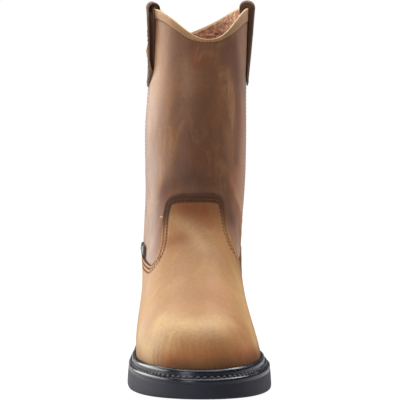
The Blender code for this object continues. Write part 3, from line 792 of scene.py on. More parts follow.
def rubber(name, deep, bloom, gloss, bump, distance, **constants):
    values = {"Deep": color(*deep), "Bloom": color(*bloom), "Gloss": gloss}
    return finished(name, RUBBER, values, bump, distance, **constants)


shaft_leather = leather(
    "shaft_leather", (117, 79, 58), (157, 105, 67), (198, 151, 104), 0.8, 0.42, 0.35,
    Specular_IOR_Level=0.3, Specular_Tint=(1.0, 0.95, 0.87, 1.0),
    Sheen_Weight=0.1, Sheen_Roughness=0.4, Sheen_Tint=(1.0, 0.96, 0.92, 1.0))
vamp_leather = leather(
    "vamp_leather", (154, 103, 57), (175, 126, 71), (208, 176, 122), 0.55, 0.58, 0.4, Specular_IOR_Level=0.4)
strap_leather = leather(
    "strap_leather", (84, 62, 49), (98, 73, 58), (206, 160, 128), 0.12, 0.62, 0.4, Specular_IOR_Level=0.15)
tab_leather = leather(
    "tab_leather", (38, 31, 29), (48, 39, 36), (180, 160, 150), 0.12, 0.3, 0.2, 0.0004, Specular_IOR_Level=0.14)
cut_edge = leather("cut_edge", (186, 158, 118), (210, 184, 146), (234, 216, 186), 1.0, 0.7, 0.5, 0.0006, ())
dark_thread = napped("dark_thread", (52, 31, 24), (80, 49, 36), (116, 78, 58))
brown_thread = napped("brown_thread", (100, 44, 34), (128, 64, 50), (152, 92, 74))
grey_thread = napped("grey_thread", (76, 76, 84), (104, 104, 112), (140, 140, 148))
pale_thread = napped("pale_thread", (208, 170, 134), (232, 204, 170), (248, 232, 208))
lining_fabric = napped("lining_fabric", (176, 112, 74), (236, 180, 138), (255, 240, 228), 330.0, 0.9, 0.0012)
footbed_fabric = napped("footbed_fabric", (92, 70, 52), (140, 108, 80), (186, 156, 124), 700.0, 0.6, 0.0008)
welt_rubber = rubber(
    "welt_rubber", (29, 29, 37), (40, 40, 49), 0.25, 0.08, 0.0003,
    Specular_IOR_Level=0.5, Specular_Tint=(0.86, 0.91, 1.0, 1.0))
sole_rubber = rubber("sole_rubber", (55, 55, 64), (66, 66, 76), 0.5, 0.3, 0.0004, Specular_IOR_Level=0.07)


# ---------------------------------------------------------------- camera, light and floor

PHOTO_PIXELS, FOCAL_PIXELS, SENSOR = 400.0, 2487.9, 36.0
CAMERA_PLACE, CAMERA_TILT, CAMERA_TURN = (0.0002, -2.013, 0.3551), 5.987, -0.01
LIT_POINT = (0.0, 0.0, 0.15)  # what every light is turned to
WHITE = (1.0, 1.0, 1.0)
LIGHTS = {  # place, width, height, power, tint, whether glossy surfaces mirror it
    "overhead": ((0.0, 0.05, 1.65), 2.2, 1.3, 36.0, WHITE, True),
    "back_high": ((0.1, 1.06, 1.21), 2.0, 0.7, 27.0, WHITE, True),
    "left_behind": ((-1.28, 0.76, 0.36), 1.7, 0.9, 26.0, (1.0, 0.985, 0.9), True),
    "front_left": ((-0.95, -1.14, 0.36), 0.7, 0.7, 6.5, WHITE, True),
    "right_side": ((1.22, 0.9, 0.36), 0.7, 0.9, 14.0, (1.0, 0.94, 0.86), False),
}


def build_camera():
    camera = bpy.data.cameras.new("camera")
    camera.sensor_width = SENSOR
    camera.lens = FOCAL_PIXELS * SENSOR / PHOTO_PIXELS
    camera.clip_end = 60.0
    holder = place_in_scene("camera", camera)
    holder.location = CAMERA_PLACE
    holder.rotation_euler = (math.radians(90.0 - CAMERA_TILT), 0.0, math.radians(CAMERA_TURN))
    bpy.context.scene.camera = holder


def build_lights():
    for name, (place, width, height, power, tint, mirrored) in LIGHTS.items():
        light = bpy.data.lights.new(name, "AREA")
        light.shape = "RECTANGLE"
        light.size, light.size_y = width, height
        light.energy = power
        light.color = tint
        lamp = place_in_scene(name, light)
        lamp.location = place
        lamp.visible_glossy = mirrored
        lamp.rotation_euler = (Vector(LIT_POINT) - Vector(place)).to_track_quat("-Z", "Y").to_euler()
    world = bpy.data.worlds.new("studio")
    world.use_nodes = True
    sky = world.node_tree.nodes["Background"]
    sky.inputs["Color"].default_value = (*WHITE, 1.0)
    Finish(world.node_tree).seen_as(0.04, 1.0, sky.inputs["Strength"])
    bpy.context.scene.world = world
    bpy.context.scene.view_settings.view_transform = "Standard"


def build_floor():
    """A grey floor for the light, which the camera sees as white with the boot's shadow on it."""
    ground = bmesh.new()
    bmesh.ops.create_grid(ground, x_segments=2, y_segments=2, size=20.0)
    mesh = bpy.data.meshes.new("floor")
    ground.to_mesh(mesh)
    ground.free()
    paint = bpy.data.materials.new("floor_paint")
    paint.use_nodes = True
    finish = Finish(paint.node_tree)
    shader = paint.node_tree.nodes["Principled BSDF"]
    tone = finish.mix(finish.noise(finish.places(), 9.0), color(60, 60, 60), color(64, 64, 64))
    finish.join(tone, shader.inputs["Base Color"])
    shader.inputs["Roughness"].default_value = 0.9
    shader.inputs["Specular IOR Level"].default_value = 0.1
    shader.inputs["Emission Color"].default_value = (*WHITE, 1.0)
    finish.seen_as(0.58, 1.0, shader.inputs["Emission Strength"])
    mesh.materials.append(paint)
    place_in_scene("floor", mesh)


# ---------------------------------------------------------------- upper

def seam_lines():
    """Share of each half ring at the shaft's side seams, by place."""
    lines = []
    for table, side, column in ((SIDE_SEAM_OUT, -1, OUTER_SIDE), (SIDE_SEAM_IN, 1, INNER_SIDE)):
        along, up = np.array(table).T
        lines.append(side_share(np.interp(FORM[:, column, 2], up, along), side))
    return lines


SEAM_OUT, SEAM_IN = seam_lines()


def collar_stitch_depth(around):
    return smooth(*zip(*COLLAR_STITCH))(np.mod(around, 2))


def build_shaft(tongue):
    """Shaft leather: the front panel laps over the back one at the side seams; a sewn band runs round the collar.
    tongue: the vamp's seam, along which a painted shadow line darkens the leather."""
    rows = np.concatenate((np.arange(0, 5.5, 0.25), np.arange(5.5, 13.5, 0.08), np.linspace(13.5, TOP, 56)))
    half_length = np.linalg.norm(np.diff(FORM[:, :HALF + 1], axis=1), axis=-1).sum(axis=1)
    lap_back = np.array((-1.6, -0.7, -0.08))  # columns beside the lap, mm from its edge
    lap_front = np.array((0.0, 0.16, 0.5, 1.1))
    columns = 84  # on each panel of each side
    table = []
    for place in rows:
        length = np.interp(place, PLACES, half_length)
        line = []
        for seam in (np.interp(place, PLACES, SEAM_OUT), np.interp(place, PLACES, SEAM_IN)):
            back = np.linspace(0, seam + (lap_back[0] - 1.0) / length, columns)
            front = np.linspace(seam + 2.2 / length, 1, columns)
            line.append(np.concatenate((back, seam + lap_back / length, seam + lap_front / length, front)))
        table.append(np.concatenate((line[0], 2 - line[1][-2::-1])))
    lap = np.concatenate((np.full(columns + len(lap_back), -1.0), (-0.5, -0.22, -0.04, 0.0), np.zeros(columns)))
    lap = np.concatenate((lap, lap[-2::-1]))
    around = np.array(table)
    place = np.broadcast_to(rows[:, None], around.shape)
    base = sample(FORM, place, around)
    under_edge = sample(BELOW, place, around)
    stitch_at = collar_stitch_depth(around)
    band = ease((stitch_at - under_edge) / 1.6 + 0.5)
    out = creases(base) + lap * above_wings(base) + 0.4 * band - 0.34 * bell(under_edge - stitch_at, 0.55)
    # Paler collar band and rim wear, plus the table's strokes, some of them painted highlights.
    wear_and_highlight = 0.42 * band + 0.3 * np.exp(-under_edge / 2.0) + tones(base, SHAFT_TONES, "wear_and_highlight")
    to_tongue = line_distance(base, tongue[::6])
    # painted shadow: a dark line on the shaft just above the vamp's seam, towards the top
    dark = tones(base, SHAFT_TONES, "dark") + 0.8 * np.exp(-(to_tongue / 1.9) ** 2) * ease((base[..., 2] - 110) / 26)
    dark = np.clip(dark, 0, 1) * (1 - band)
    flush_and_shade = np.clip(tones(base, SHAFT_TONES, "flush_and_shade"), 0, 1) * (1 - band)
    rise = np.zeros_like(out)
    rise[-1] = -0.45

    top = np.full((1, around.shape[1]), float(TOP))
    turn = around[-1:]
    edge = ((-0.1, -0.14), (-0.4, 0.0), (-0.98, 0.0), (-1.28, -0.14), (-1.4, -0.45))
    inner_rows = np.concatenate((np.linspace(TOP - 0.05, 0, 44), (0.0,)))
    inner_table = np.column_stack([np.interp(inner_rows, rows, column) for column in around.T])
    inner_place = np.broadcast_to(inner_rows[:, None], inner_table.shape)
    inner_base = sample(FORM, inner_place, inner_table)
    inner_out = creases(inner_base) - SHAFT_LEATHER - 1.0 * (lap < -0.3) * above_wings(inner_base)
    inner_out[-1] = out[0]
    all_place = np.vstack([place] + [top] * len(edge) + [inner_place])
    all_around = np.vstack([around] + [turn] * len(edge) + [inner_table])
    all_out = np.vstack([out] + [out[-1:] + step for step, _ in edge] + [inner_out])
    all_rise = np.vstack([rise] + [np.full_like(turn, lift) for _, lift in edge] + [np.zeros_like(inner_table)])
    plain = [np.zeros_like(turn)] * len(edge) + [np.zeros_like(inner_table)]
    marks = {kind: np.vstack([mark] + plain) for kind, mark in (("wear_and_highlight", wear_and_highlight), ("dark", dark), ("flush_and_shade", flush_and_shade))}
    points = skin(all_place, all_around, all_out, all_rise)
    paint = np.zeros((len(points) - 1, 1), int)
    paint[len(rows) - 1:len(rows) + len(edge) + 1] = 1
    shape = bent_grid(points, marks, paint)
    add_piece("shaft", shape, (shaft_leather, cut_edge), ("upper",))


def build_lining():
    """Napped lining against the inside of the leather."""
    rows = np.linspace(TOP, 0, 110)
    turn = np.linspace(0, 2, 281)
    place, around = np.meshgrid(rows, turn, indexing="ij")
    base = sample(FORM, place, around)
    part = np.mod(around, 2)
    seam = np.where(part <= 1, np.interp(place, PLACES, SEAM_OUT), np.interp(place, PLACES, SEAM_IN))
    share = np.where(part <= 1, part, 2 - part)
    sunk = -1.0 * above_wings(base) * np.clip((seam - share) * 60, 0, 1)
    outer = creases(base) - SHAFT_LEATHER - 0.08 + sunk
    fluff = np.array([noise.noise(Vector(point) * 0.4) for point in base.reshape(-1, 3)]).reshape(outer.shape)
    inner = outer - LINING + 0.2 * fluff
    rise = np.zeros_like(outer)
    rise[0] = -2.2
    rounding = skin(place[:1], turn[None], (outer[:1] + inner[:1]) / 2, -1.9)
    points = np.vstack((skin(place, around, outer, rise)[::-1], rounding, skin(place, around, inner, rise)))
    points = np.vstack((points, points[:1]))
    add_piece("lining", bent_grid(points), (lining_fabric,))


def row_shift(points):
    """How much further in the rows of stitches lie: beside the tongue on the inner side."""
    across, up = points[..., 0], points[..., 2]
    low = 1.5 * ease((up - 88) / 10) * ease((128 - up) / 14)
    return (2.0 * ease((up - 84) / 14) * ease((146 - up) / 12) + low) * ease((across - 12) / 12)


def stitch_grooves(points, distance, rows, depth):
    total = np.zeros_like(distance)
    for row in rows:
        total += depth * bell(distance - row - row_shift(points), 0.55)
    return total


def overlay_sheet(name, node, seam_around, seam_place, start_line, end_line):
    """A leather overlay: its upper edge follows a seam, its two ends follow lines down to the sole.
    Returns the seam and both ends as lines on the form."""
    seam = sample(FORM, seam_place, seam_around)
    columns = int(run(seam)[-1] / 0.9)
    at = np.linspace(0, run(seam)[-1], columns)
    top = np.column_stack((np.interp(at, run(seam), seam_around), np.interp(at, run(seam), seam_place)))
    top_around, top_place = soften(top, 2, False).T
    seam = sample(FORM, top_place, top_around)
    local = sample(STEP, top_place, top_around)
    near = np.array((0.0, 0.1, 0.25, 0.45, 0.75, 1.2, 1.8, 2.4, 3.0, 3.8, 4.6, 5.2, 5.8, 6.8, 8.0))
    near_places = top_place - near[:, None] / local
    far_places = np.linspace(1, 0, 72)[1:, None] ** 0.95 * near_places[-1:]
    place = np.vstack((near_places, far_places))[::-1]
    x = np.linspace(0, 1, columns)
    pull_start, pull_end = np.clip(1 - 2 * x, 0, 1) ** 2, np.clip(2 * x - 1, 0, 1) ** 2
    shift_start = np.interp(place, PLACES, start_line) - np.interp(top_place[0], PLACES, start_line)
    shift_end = np.interp(place, PLACES, end_line) - np.interp(top_place[-1], PLACES, end_line)
    around = top_around + pull_start * shift_start + pull_end * shift_end
    base = sample(FORM, place, around)
    start, end = base[:, 0], base[:, -1]
    to_seam = np.stack([line_distance(row, seam) for row in base])
    to_end = np.minimum(line_distance(base, start[::3]), line_distance(base, end[::3]))
    distance = np.minimum(to_seam, to_end)
    radius = 0.8
    short = np.clip(radius - distance, 0, radius)
    rounding = radius - np.sqrt(radius ** 2 - short ** 2)
    folds = creases(base)
    out = OVERLAY + folds - rounding
    grooves = stitch_grooves(base, to_seam, SEAM_ROWS, 1.0) + stitch_grooves(base, to_end, SEAM_ROWS[:1], 0.8)
    out -= 0.45 * grooves
    out += 0.14 * bell(to_seam - sum(SEAM_ROWS) / 2 - row_shift(base), 0.7)
    dark = np.clip(1.25 - distance / 0.8, 0, 1) + 0.3 * grooves
    low = base[..., 2] - sole_top(base[..., 1])
    inner = np.clip(0.5 + base[..., 0] / 60, 0, 1)
    # Next line, painted shade: darker up towards the tongue's top, and a painted shadow low down by the welt.
    dark += 0.5 * ease((base[..., 2] - 114) / 26) + (0.28 + 0.12 * inner) * ease(1 - (low - 9) / (9 + 8 * inner))
    dark += (0.52 - 0.27 * inner) * ease((base[..., 2] - 106) / 24) * ease(1 - (to_seam - 5.5) / 3)
    # painted shadow low down by the welt, fading out on the outer side
    dark += 0.35 * ease(1 - (low - 11) / 12) * ease((base[..., 0] + 44) / 30)
    dark = np.clip(dark + tones(base, VAMP_TONES, "dark"), 0, 1)
    flush_and_shade = np.clip(tones(base, VAMP_TONES, "flush_and_shade"), 0, 1)
    # Paler low down: a little everywhere, and more on the outer side as a painted highlight.
    outer = np.clip(0.5 - base[..., 0] / 60, 0, 1) * ease((118 - base[..., 2]) / 25)
    wear_and_highlight = (0.1 + 0.06 * outer) * ease((134 - base[..., 2]) / 22) * ease((low - 12) / 14)
    wear_and_highlight += tones(base, VAMP_TONES, "wear_and_highlight")
    seat = slice(None, None, -7)
    inner_place, inner_around = place[seat], around[seat]
    face = skin(place, around, out)
    points = np.vstack((face, skin(inner_place, inner_around, UNDER + folds[seat]), face[:1]))
    marks = {kind: np.vstack((mark, np.full_like(inner_place, hidden), mark[:1]))
             for kind, mark, hidden in (("dark", dark, 1.0), ("wear_and_highlight", wear_and_highlight, 0.0), ("flush_and_shade", flush_and_shade, 0.0))}
    add_piece(name, bent_grid(points, marks), (vamp_leather,), (node,))
    return seam, start[::-1], end[::-1]


def vamp_seam():
    """The vamp's seam from the end of its outer wing over the tongue to the end of its inner wing."""
    outer = seam_places(VAMP_EDGE_OUT, np.arange(HALF + 1))
    inner = seam_places(VAMP_EDGE_IN, np.arange(HALF, 2 * HALF + 1))
    ends = side_share(WING_END, -1), 2 - side_share(WING_END, 1)
    around = np.linspace(0, 2, 2 * HALF + 1)
    place = np.concatenate((outer, inner[1:]))
    place[HALF - 2:HALF + 3] = place[[HALF - 3, HALF + 3]].mean()
    first = next(k for k in range(HALF) if around[k] >= np.interp(place[k], PLACES, ends[0]))
    last = next(k for k in range(2 * HALF, HALF, -1) if around[k] <= np.interp(place[k], PLACES, ends[1]))
    return around[first:last + 1], place[first:last + 1], ends[0], ends[1]


def counter_seam():
    """The counter's upper edge from the inner side round the back to the outer side."""
    outer = seam_places(COUNTER_EDGE, np.arange(HALF + 1))
    inner = seam_places(COUNTER_EDGE, np.arange(HALF, 2 * HALF + 1))
    ends = -side_share(COUNTER_END, 1), side_share(COUNTER_END, -1)
    around = np.linspace(-1, 1, 2 * HALF + 1)
    place = np.concatenate((inner[:-1], outer))
    keep = (around >= np.interp(place, PLACES, ends[0])) & (around <= np.interp(place, PLACES, ends[1]))
    return around[keep], place[keep], ends[0], ends[1]


def inset_line(seam, distance, inwards):
    """A line beside a seam, at a distance over the leather; inwards is +1 into the overlay, -1 out of it."""
    line = even(seam, int(run(seam)[-1] / 1.2))
    base, away = nearest_skin(line)
    beside = unit(np.cross(away, unit(np.gradient(line, axis=0))))
    distance = distance + row_shift(base)
    moved = base + inwards * distance[:, None] * beside
    return moved[line_distance(moved, line) > distance - 0.25]


def build_stitching(vamp, counter):
    """Rows of brown thread along the seams of the upper."""
    rows = bmesh.new()
    for seam, start, end in (vamp, counter):
        for distance in SEAM_ROWS:
            sew_on_skin(rows, inset_line(seam, distance, 1), OVERLAY - 0.28, OVERLAY_STITCH)
        for line, inwards in ((start, -1), (end, 1)):
            line = line[(line[:, 2] < line[0, 2] - 6.5) & (line[:, 2] > 42)]
            sew_on_skin(rows, inset_line(line, SEAM_ROWS[0], inwards), OVERLAY - 0.25, OVERLAY_STITCH)
    for around, column, inwards in ((SEAM_OUT, OUTER_SIDE, 1), (2 - SEAM_IN, INNER_SIDE, -1)):
        use = (FORM[:, column, 2] > 106) & (PLACES < 14.75)
        line = sample(FORM, PLACES[use], around[use])
        for distance in (2.2, 4.8):
            sew_on_skin(rows, inset_line(line, distance, inwards), -0.1, SIDE_SEAM_STITCH)
    turn = np.linspace(0.0, 2.0, 500)
    depth = collar_stitch_depth(turn)
    place = np.array([np.interp(d, BELOW[::-1, int(c)], PLACES[::-1]) for d, c in zip(depth, turn * HALF)])
    line = sample(FORM, place, turn)
    middles, directions = stitch_row(line, 3.0)
    base, away = nearest_skin(middles)
    share = np.interp(np.arange(len(base)), (0, len(base) - 1), (0, 2))
    behind = np.where((share < 0.42) | (share > 1.6), -1.0, 0.0)
    sew(rows, base + away * (creases(base) + behind - 0.05)[:, None], directions, away, COLLAR_THREAD)
    add_piece("brown_stitching", rows, (dark_thread, brown_thread))


def build_side_tab():
    """Plain sewn patch at the top of the wing on the outer side."""
    corners = np.array(SIDE_TAB)
    u, v = np.meshgrid(np.concatenate(((0, 0.012), np.linspace(0.04, 0.96, 30), (0.988, 1))),
                       np.concatenate(((0, 0.03), np.linspace(0.1, 0.9, 14), (0.97, 1))), indexing="ij")
    flat = ((1 - u)[..., None] * ((1 - v)[..., None] * corners[0] + v[..., None] * corners[1])
            + u[..., None] * ((1 - v)[..., None] * corners[3] + v[..., None] * corners[2]))
    view = FORM[:, :HALF + 1, 1:][::2, ::2].reshape(-1, 2)
    full = FORM[:, :HALF + 1][::2, ::2].reshape(-1, 3)
    away = OUTWARD[:, :HALF + 1][::2, ::2].reshape(-1, 3)
    pick = np.array([np.argmin(((view - place) ** 2).sum(axis=1)) for place in flat.reshape(-1, 2)])
    base = full[pick].copy()
    base[:, 1:] = flat.reshape(-1, 2)
    base, away = base.reshape(*u.shape, 3), away[pick].reshape(*u.shape, 3)
    base = soften(soften(base, 2, False).transpose(1, 0, 2), 1, False).transpose(1, 0, 2)
    border = np.minimum(np.minimum(u, 1 - u) * 24, np.minimum(v, 1 - v) * 10)
    bulge = np.sqrt(np.clip(1 - (1 - np.clip(border / 1.0, 0, 1)) ** 2, 0, 1))
    low = creases(base) + 0.15
    high = low + 0.5 + 1.3 * bulge + 1.2 * np.sin(math.pi * u) * np.sin(math.pi * v) ** 0.5
    sheet = base + away * high[..., None]
    under = base + away * low[..., None]
    rim = np.minimum(border / 1.2, 1.0)
    points = np.vstack((sheet, under[::-1], sheet[:1]))
    marks = np.vstack((0.1 * (1 - rim), np.zeros_like(rim), 0.1 * (1 - rim[:1])))
    add_piece("side_tab", bent_grid(points, {"wear_and_highlight": marks}), (tab_leather,), ("side_tab_outer",))


# ---------------------------------------------------------------- pull straps

def build_strap(name, side, middle, path, end_round, free, hollow, drawn, node, rows):
    """A leather strap looped over the collar and sewn down outside and inside. end_round: how far the corners of its
    end are cut; free: how flat its outside stays where the leg curves away; hollow: depth of the gap in its edges;
    drawn: share of its width that it loses over the rim."""
    path = np.array(path)
    knots = np.arange(len(path))
    fine = np.linspace(0, len(path) - 1, 110)
    curves = [np.interp(fine, knots, part) for part in path.T]
    out, lift, thick = (soften(part[:, None], 4, False)[:, 0] for part in curves)
    high = half_form(side)[380:]  # the rows near the collar
    rim_step = np.array((-0.5, -0.5, -0.5, -0.494, -0.48, -0.46))
    rim_full = np.array((0.0, 0.52, 0.56, 0.8, 0.96, 1.0))
    gap = np.array((hollow / STRAP_WIDTH, hollow / STRAP_WIDTH, 0.0, 0.0, 0.0, 0.0))
    widths = np.concatenate((rim_step, np.linspace(-0.44, 0.44, 23), -rim_step[::-1]))
    fullness = np.concatenate((rim_full, np.ones(23), rim_full[::-1]))
    sunk = np.concatenate((gap, np.zeros(23), -gap[::-1]))
    # The outer strap's edges are painted darker: edge ink, and painted shade in the gap between its legs.
    black = free * np.concatenate(((0.15, 0.1, 0.05), np.zeros(29), (0.05, 0.1, 0.15)))
    reach = np.array([np.abs(row[:, 0]).max() for row in high])
    taper = np.sqrt(np.clip(1 - (1 - np.clip(np.minimum(fine, fine[::-1]) / 0.12, 0, 1)) ** 2, 0.0, 1))
    faces, middles, wear_and_highlight, dark = [], [], [], []
    gather = ease((fine - 3.2) / 1.8)
    for step, full, inset, ink_and_shade in zip(widths, fullness, sunk, black):
        rise = lift + end_round * (2 * step) ** 2 * np.interp(fine, (0, 1, 2, 3), (1.0, 0.6, 0.2, 0.0))
        bulge = free * np.clip((-0.28 - step) / 0.2, 0, 1) * np.exp(-(((lift + 42) / 8) ** 2))
        along, near, stand = middle + step * STRAP_WIDTH * (1 - gather * drawn), 0.0, 0.0
        for share, narrow in ((1 - gather, 0.0), (gather, drawn)):
            place = middle + step * STRAP_WIDTH * (1 - narrow)
            wall_x = np.array([np.interp(place, row[:, 1], row[:, 0]) for row in high])
            wall_up = np.array([np.interp(place, row[:, 1], row[:, 2]) for row in high])
            up = wall_up[-1] + rise
            stand = stand + share * free * np.interp(fine, *STRAP_FREE) * np.interp(up, wall_up, reach - side * wall_x)
            near = near + share[:, None] * np.column_stack((np.interp(up, wall_up, wall_x) + side * out, up))
        thicker = thick + stand + 2.4 * bulge
        near = soften(near, 2, False)
        slope = np.gradient(near, axis=0)
        away = unit(side * np.column_stack((slope[:, 1], -slope[:, 0])))
        centre = near + away * thicker[:, None] / 2
        spread = away * (thicker * full * taper)[:, None] / 2
        crown = away * (0.5 * (1 - (2 * step) ** 2)) * np.clip(thick / 3, 0, 1)[:, None]
        loop = np.vstack((centre - spread, (centre + spread + crown * full)[::-1]))
        loop = np.vstack((loop, loop[:1]))
        way = np.concatenate((along, along[::-1], along[:1])) + inset * STRAP_WIDTH
        faces.append(np.column_stack((loop[:, 0], way, loop[:, 1])))
        middles.append((along, centre + spread + crown * full))
        # Painted light: the outer strap, which stands in shade, is a little paler all over; its edges are paler where
        # rubbed, and the outside of its bulge gets a painted highlight.
        rubbed_and_lit = 0.06 * free + 0.1 * (1 - ink_and_shade) * max(0.0, abs(step) - 0.44) / 0.06
        wear_and_highlight.append(np.concatenate((np.full(len(fine), rubbed_and_lit), rubbed_and_lit + 0.9 * bulge[::-1], (rubbed_and_lit,))))
        dark.append(np.full(len(loop), ink_and_shade))
    points = np.array(faces).transpose(1, 0, 2)
    shape = bent_grid(points, {"wear_and_highlight": np.array(wear_and_highlight).T, "dark": np.array(dark).T})
    add_piece(name, shape, (strap_leather,), (node,))

    def sewn(step, first, last):
        k = int(np.argmin(np.abs(widths - step)))
        along, line = middles[k]
        use = (fine >= first) & (fine <= last)
        return np.column_stack((line[use, 0], along[use], line[use, 1]))

    lines = [sewn(step, 0.25, 2.9) for step in (-0.4, 0.4)]
    for station in (0.3, 2.7):
        k = int(station / fine[-1] * (len(fine) - 1))
        lines.append(np.array([sewn(step, 0, fine[-1])[k] for step in np.linspace(-0.36, 0.36, 17)]))
    for line in lines:
        centres, directions = stitch_row(line, STITCH_PITCH)
        sew(rows, centres, directions, np.broadcast_to((float(side), 0.0, 0.0), centres.shape), STRAP_STITCH)


def build_straps():
    rows = bmesh.new()
    build_strap("strap_outer", -1, 87.5, STRAP_PATH_OUT, STRAP_ROUND_OUT, 1.0, 4.0, 0.24, "pull_strap_outer", rows)
    build_strap("strap_inner", 1, 75.0, STRAP_PATH_IN, STRAP_ROUND_IN, 0.0, 0.5, 0.0, "pull_strap_inner", rows)
    add_piece("strap_stitching", rows, (dark_thread,))


# ---------------------------------------------------------------- sole

def outset(points, distance):
    """A closed ring moved outwards in plan."""
    tangent = np.roll(points[:-1], -1, axis=0) - np.roll(points[:-1], 1, axis=0)
    normal = unit(np.column_stack((-tangent[:, 1], tangent[:, 0])))
    normal = np.vstack((normal, normal[:1]))
    moved = points.copy()
    moved[:, :2] += normal * np.asarray(distance)
    return moved


EDGE = soften(ring(SOLE_EDGE, 321), 3, True)
INNER_EDGE = soften(outset(ring(section_at(1.0), 321), 2.6), 3, True)


def welt_point(share, distance, up):
    """A ring of the welt: share of the way from the upper to the edge, moved outwards, at a height over the sole."""
    line = outset((1 - share) * INNER_EDGE + share * EDGE, distance)
    line[:, 2] = sole_top(line[:, 1]) + up
    return line


def build_welt():
    profile = [
        (0, 0.0, 0.0), (0, 0.0, 9.8), (0, 0.05, 10.6), (0, 0.2, 11.0), (0, 0.5, 11.15), (0, 0.9, 10.95),
        (0, 1.5, 10.55), (0, 2.1, 10.05), (0, 2.5, 9.55), (0, 2.75, 8.95), (0, 2.85, 8.1), (0, 2.9, 6.2),
        (0, 3.05, 5.4),
    ]
    profile += [(share, (1 - share) * 3.9 - share * 2.0, up) for share, up in (
        (0.05, 5.0), (0.2, 4.95), (0.28, 4.8), (0.38, 4.55), (0.48, 4.75), (0.58, 4.78), (0.75, 4.72), (0.9, 4.62))]
    profile += [(1, -1.9, 4.56), (1, -1.4, 4.36), (1, -0.85, 4.0), (1, -0.4, 3.58), (1, -0.12, 3.1), (1, 0.0, 2.5),
                (1, 0.0, 0.9), (1, -0.06, 0.4), (1, -0.1, 0.0), (0, 0.0, 0.0)]
    points = np.array([welt_point(*row) for row in profile])
    add_piece("welt_rand", bent_grid(points), (welt_rubber,), ("welt",))
    line = welt_point(0.34, 1.9, 5.6)
    rows = bmesh.new()
    middles, directions = stitch_row(line, 5.2)
    sew(rows, middles, directions, np.broadcast_to((0.0, 0.0, 1.0), middles.shape), WELT_STITCH)
    add_piece("welt_stitching", rows, (grey_thread,))


def split(line):
    """The two sides of a closed ring, each from the back to the front."""
    middle = len(line) // 2
    return line[:middle + 1], line[middle:][::-1]


def slab(edge, levels, shares, fractions, dents=(), last=None):
    """Points of a solid sole layer: rings from the top edge down to the tread, then across the tread and the top.
    levels: how far each ring lies outside the edge, and its height; dents: along ranges of the tread's grooves;
    last: where the layer ends in front of the heel."""
    sides = []
    for distance, up in levels:
        outer, inner = split(outset(edge, distance))
        at = outer[0, 1] + shares * ((last or outer[-1, 1]) - outer[0, 1])
        sides.append([np.column_stack((np.interp(at, half[:, 1], half[:, 0]), at, up(at))) for half in (outer, inner)])
    columns = [side[0] for side in sides]
    left, right = sides[-1]
    for fraction in fractions:
        row = (1 - fraction) * left + fraction * right
        if fraction not in (fractions[0], fractions[-1]):
            for start, stop in dents:
                row[(row[:, 1] > start) & (row[:, 1] < stop), 2] += GROOVE_DEPTH
        columns.append(row)
    columns += [side[1] for side in sides[::-1]]
    left, right = sides[0]
    columns += [(1 - fraction) * right + fraction * left for fraction in (0.3, 0.7)]
    columns.append(columns[0])
    return np.array(columns).transpose(1, 0, 2)


def over(rise):
    return lambda along: sole_top(along) + rise


def under(rise):
    return lambda along: sole_under(along) + rise


def flat(up):
    return lambda along: np.full_like(along, up)


TREAD_FRACTIONS = [0.003, 0.006, *np.linspace(0.1, 0.9, 9), 0.994, 0.997]
TREAD_START, TREAD_END = 11.0, 297.0


def grooved(middles, shares, end):
    """The along ranges of the tread's grooves, and a layer's shares with both edges of each groove among them."""
    dents = [(middle - GROOVE_WIDTH / 2, middle + GROOVE_WIDTH / 2) for middle in middles]
    edges = np.array([edge + step for dent in dents for edge in dent for step in (-0.06, 0.06)])
    return dents, np.sort(np.concatenate((shares, (edges - TREAD_START) / (end - TREAD_START))))


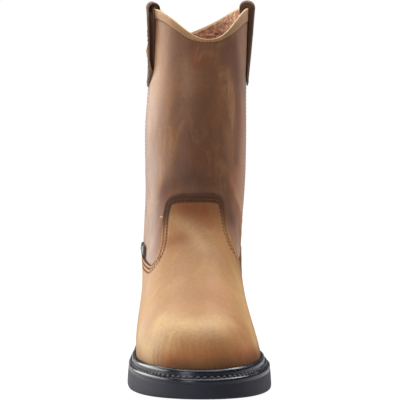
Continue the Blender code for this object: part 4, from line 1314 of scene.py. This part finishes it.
def build_outsole():
    levels = (
        (-0.6, over(0.0)), (-0.05, over(-0.05)), (0.1, over(-0.3)), (0.2, over(-0.8)), (0.28, over(-1.8)),
        (0.7, lambda along: 0.5 * (sole_top(along) + sole_under(along))), (1.0, under(2.2)), (0.96, under(1.4)),
        (0.7, under(0.7)), (0.2, under(0.25)), (-0.5, under(0.04)), (-1.2, under(0.0)), (-TREAD_RIM, under(0.0)),
    )
    dents, shares = grooved(FOREFOOT_GROOVES, closer_at_ends(170), TREAD_END)
    points = slab(EDGE, levels, shares, TREAD_FRACTIONS, dents)
    add_piece("sole", bent_grid(points), (sole_rubber,), ("outsole",))


def build_heel():
    levels = (
        (0.0, under(-0.3)), (0.02, under(-0.9)), (-0.1, flat(17.0)), (-0.3, flat(9.6)), (-0.75, flat(9.2)),
        (-0.75, flat(8.4)), (-0.35, flat(8.0)), (-0.7, flat(1.8)), (-0.95, flat(0.8)), (-1.5, flat(0.2)),
        (-2.2, flat(0.0)), (-TREAD_RIM, flat(0.0)),
    )
    dents, shares = grooved(HEEL_GROOVES, closer_at_ends(70, math.pi / 2), HEEL_BREAST)
    points = slab(EDGE, levels, shares, TREAD_FRACTIONS, dents, HEEL_BREAST)
    add_piece("heel_block", bent_grid(points), (sole_rubber,), ("heel",))


def build_footbed():
    edge = soften(outset(ring(SECTIONS[0], 241), -2.9), 3, True)
    levels = (-1.2, over(4.0)), (-0.4, over(3.8)), (0.0, over(3.2)), (0.0, over(1.0)), (-0.6, over(0.3))
    points = slab(edge, levels, closer_at_ends(150), (0.25, 0.5, 0.75))
    add_piece("footbed", bent_grid(points), (footbed_fabric,), ("insole",))


def build_loose_thread():
    """The short end of pale thread that lies over the edge of the outer seam."""
    line = np.array([(-30.6, 146.0, 129.1), (-29.8, 147.3, 128.8), (-28.9, 148.5, 128.6)])
    base, away = nearest_skin(line)
    rows = bmesh.new()
    sew(rows, base + away * np.array(((1.5,), (2.7,), (2.6,))), unit(np.gradient(line, axis=0)), away, LOOSE_STITCH)
    add_piece("loose_thread", rows, (pale_thread,))


def build_boot():
    around, place, *ends = vamp_seam()
    build_shaft(sample(FORM, place, around))
    build_lining()
    vamp = overlay_sheet("vamp_panel", "vamp", around, place, *ends)
    counter = overlay_sheet("counter_panel", "heel_counter", *counter_seam())
    build_stitching(vamp, counter)
    build_side_tab()
    build_straps()
    build_welt()
    build_outsole()
    build_heel()
    build_footbed()
    build_loose_thread()


build_camera()
build_lights()
build_floor()
build_boot()
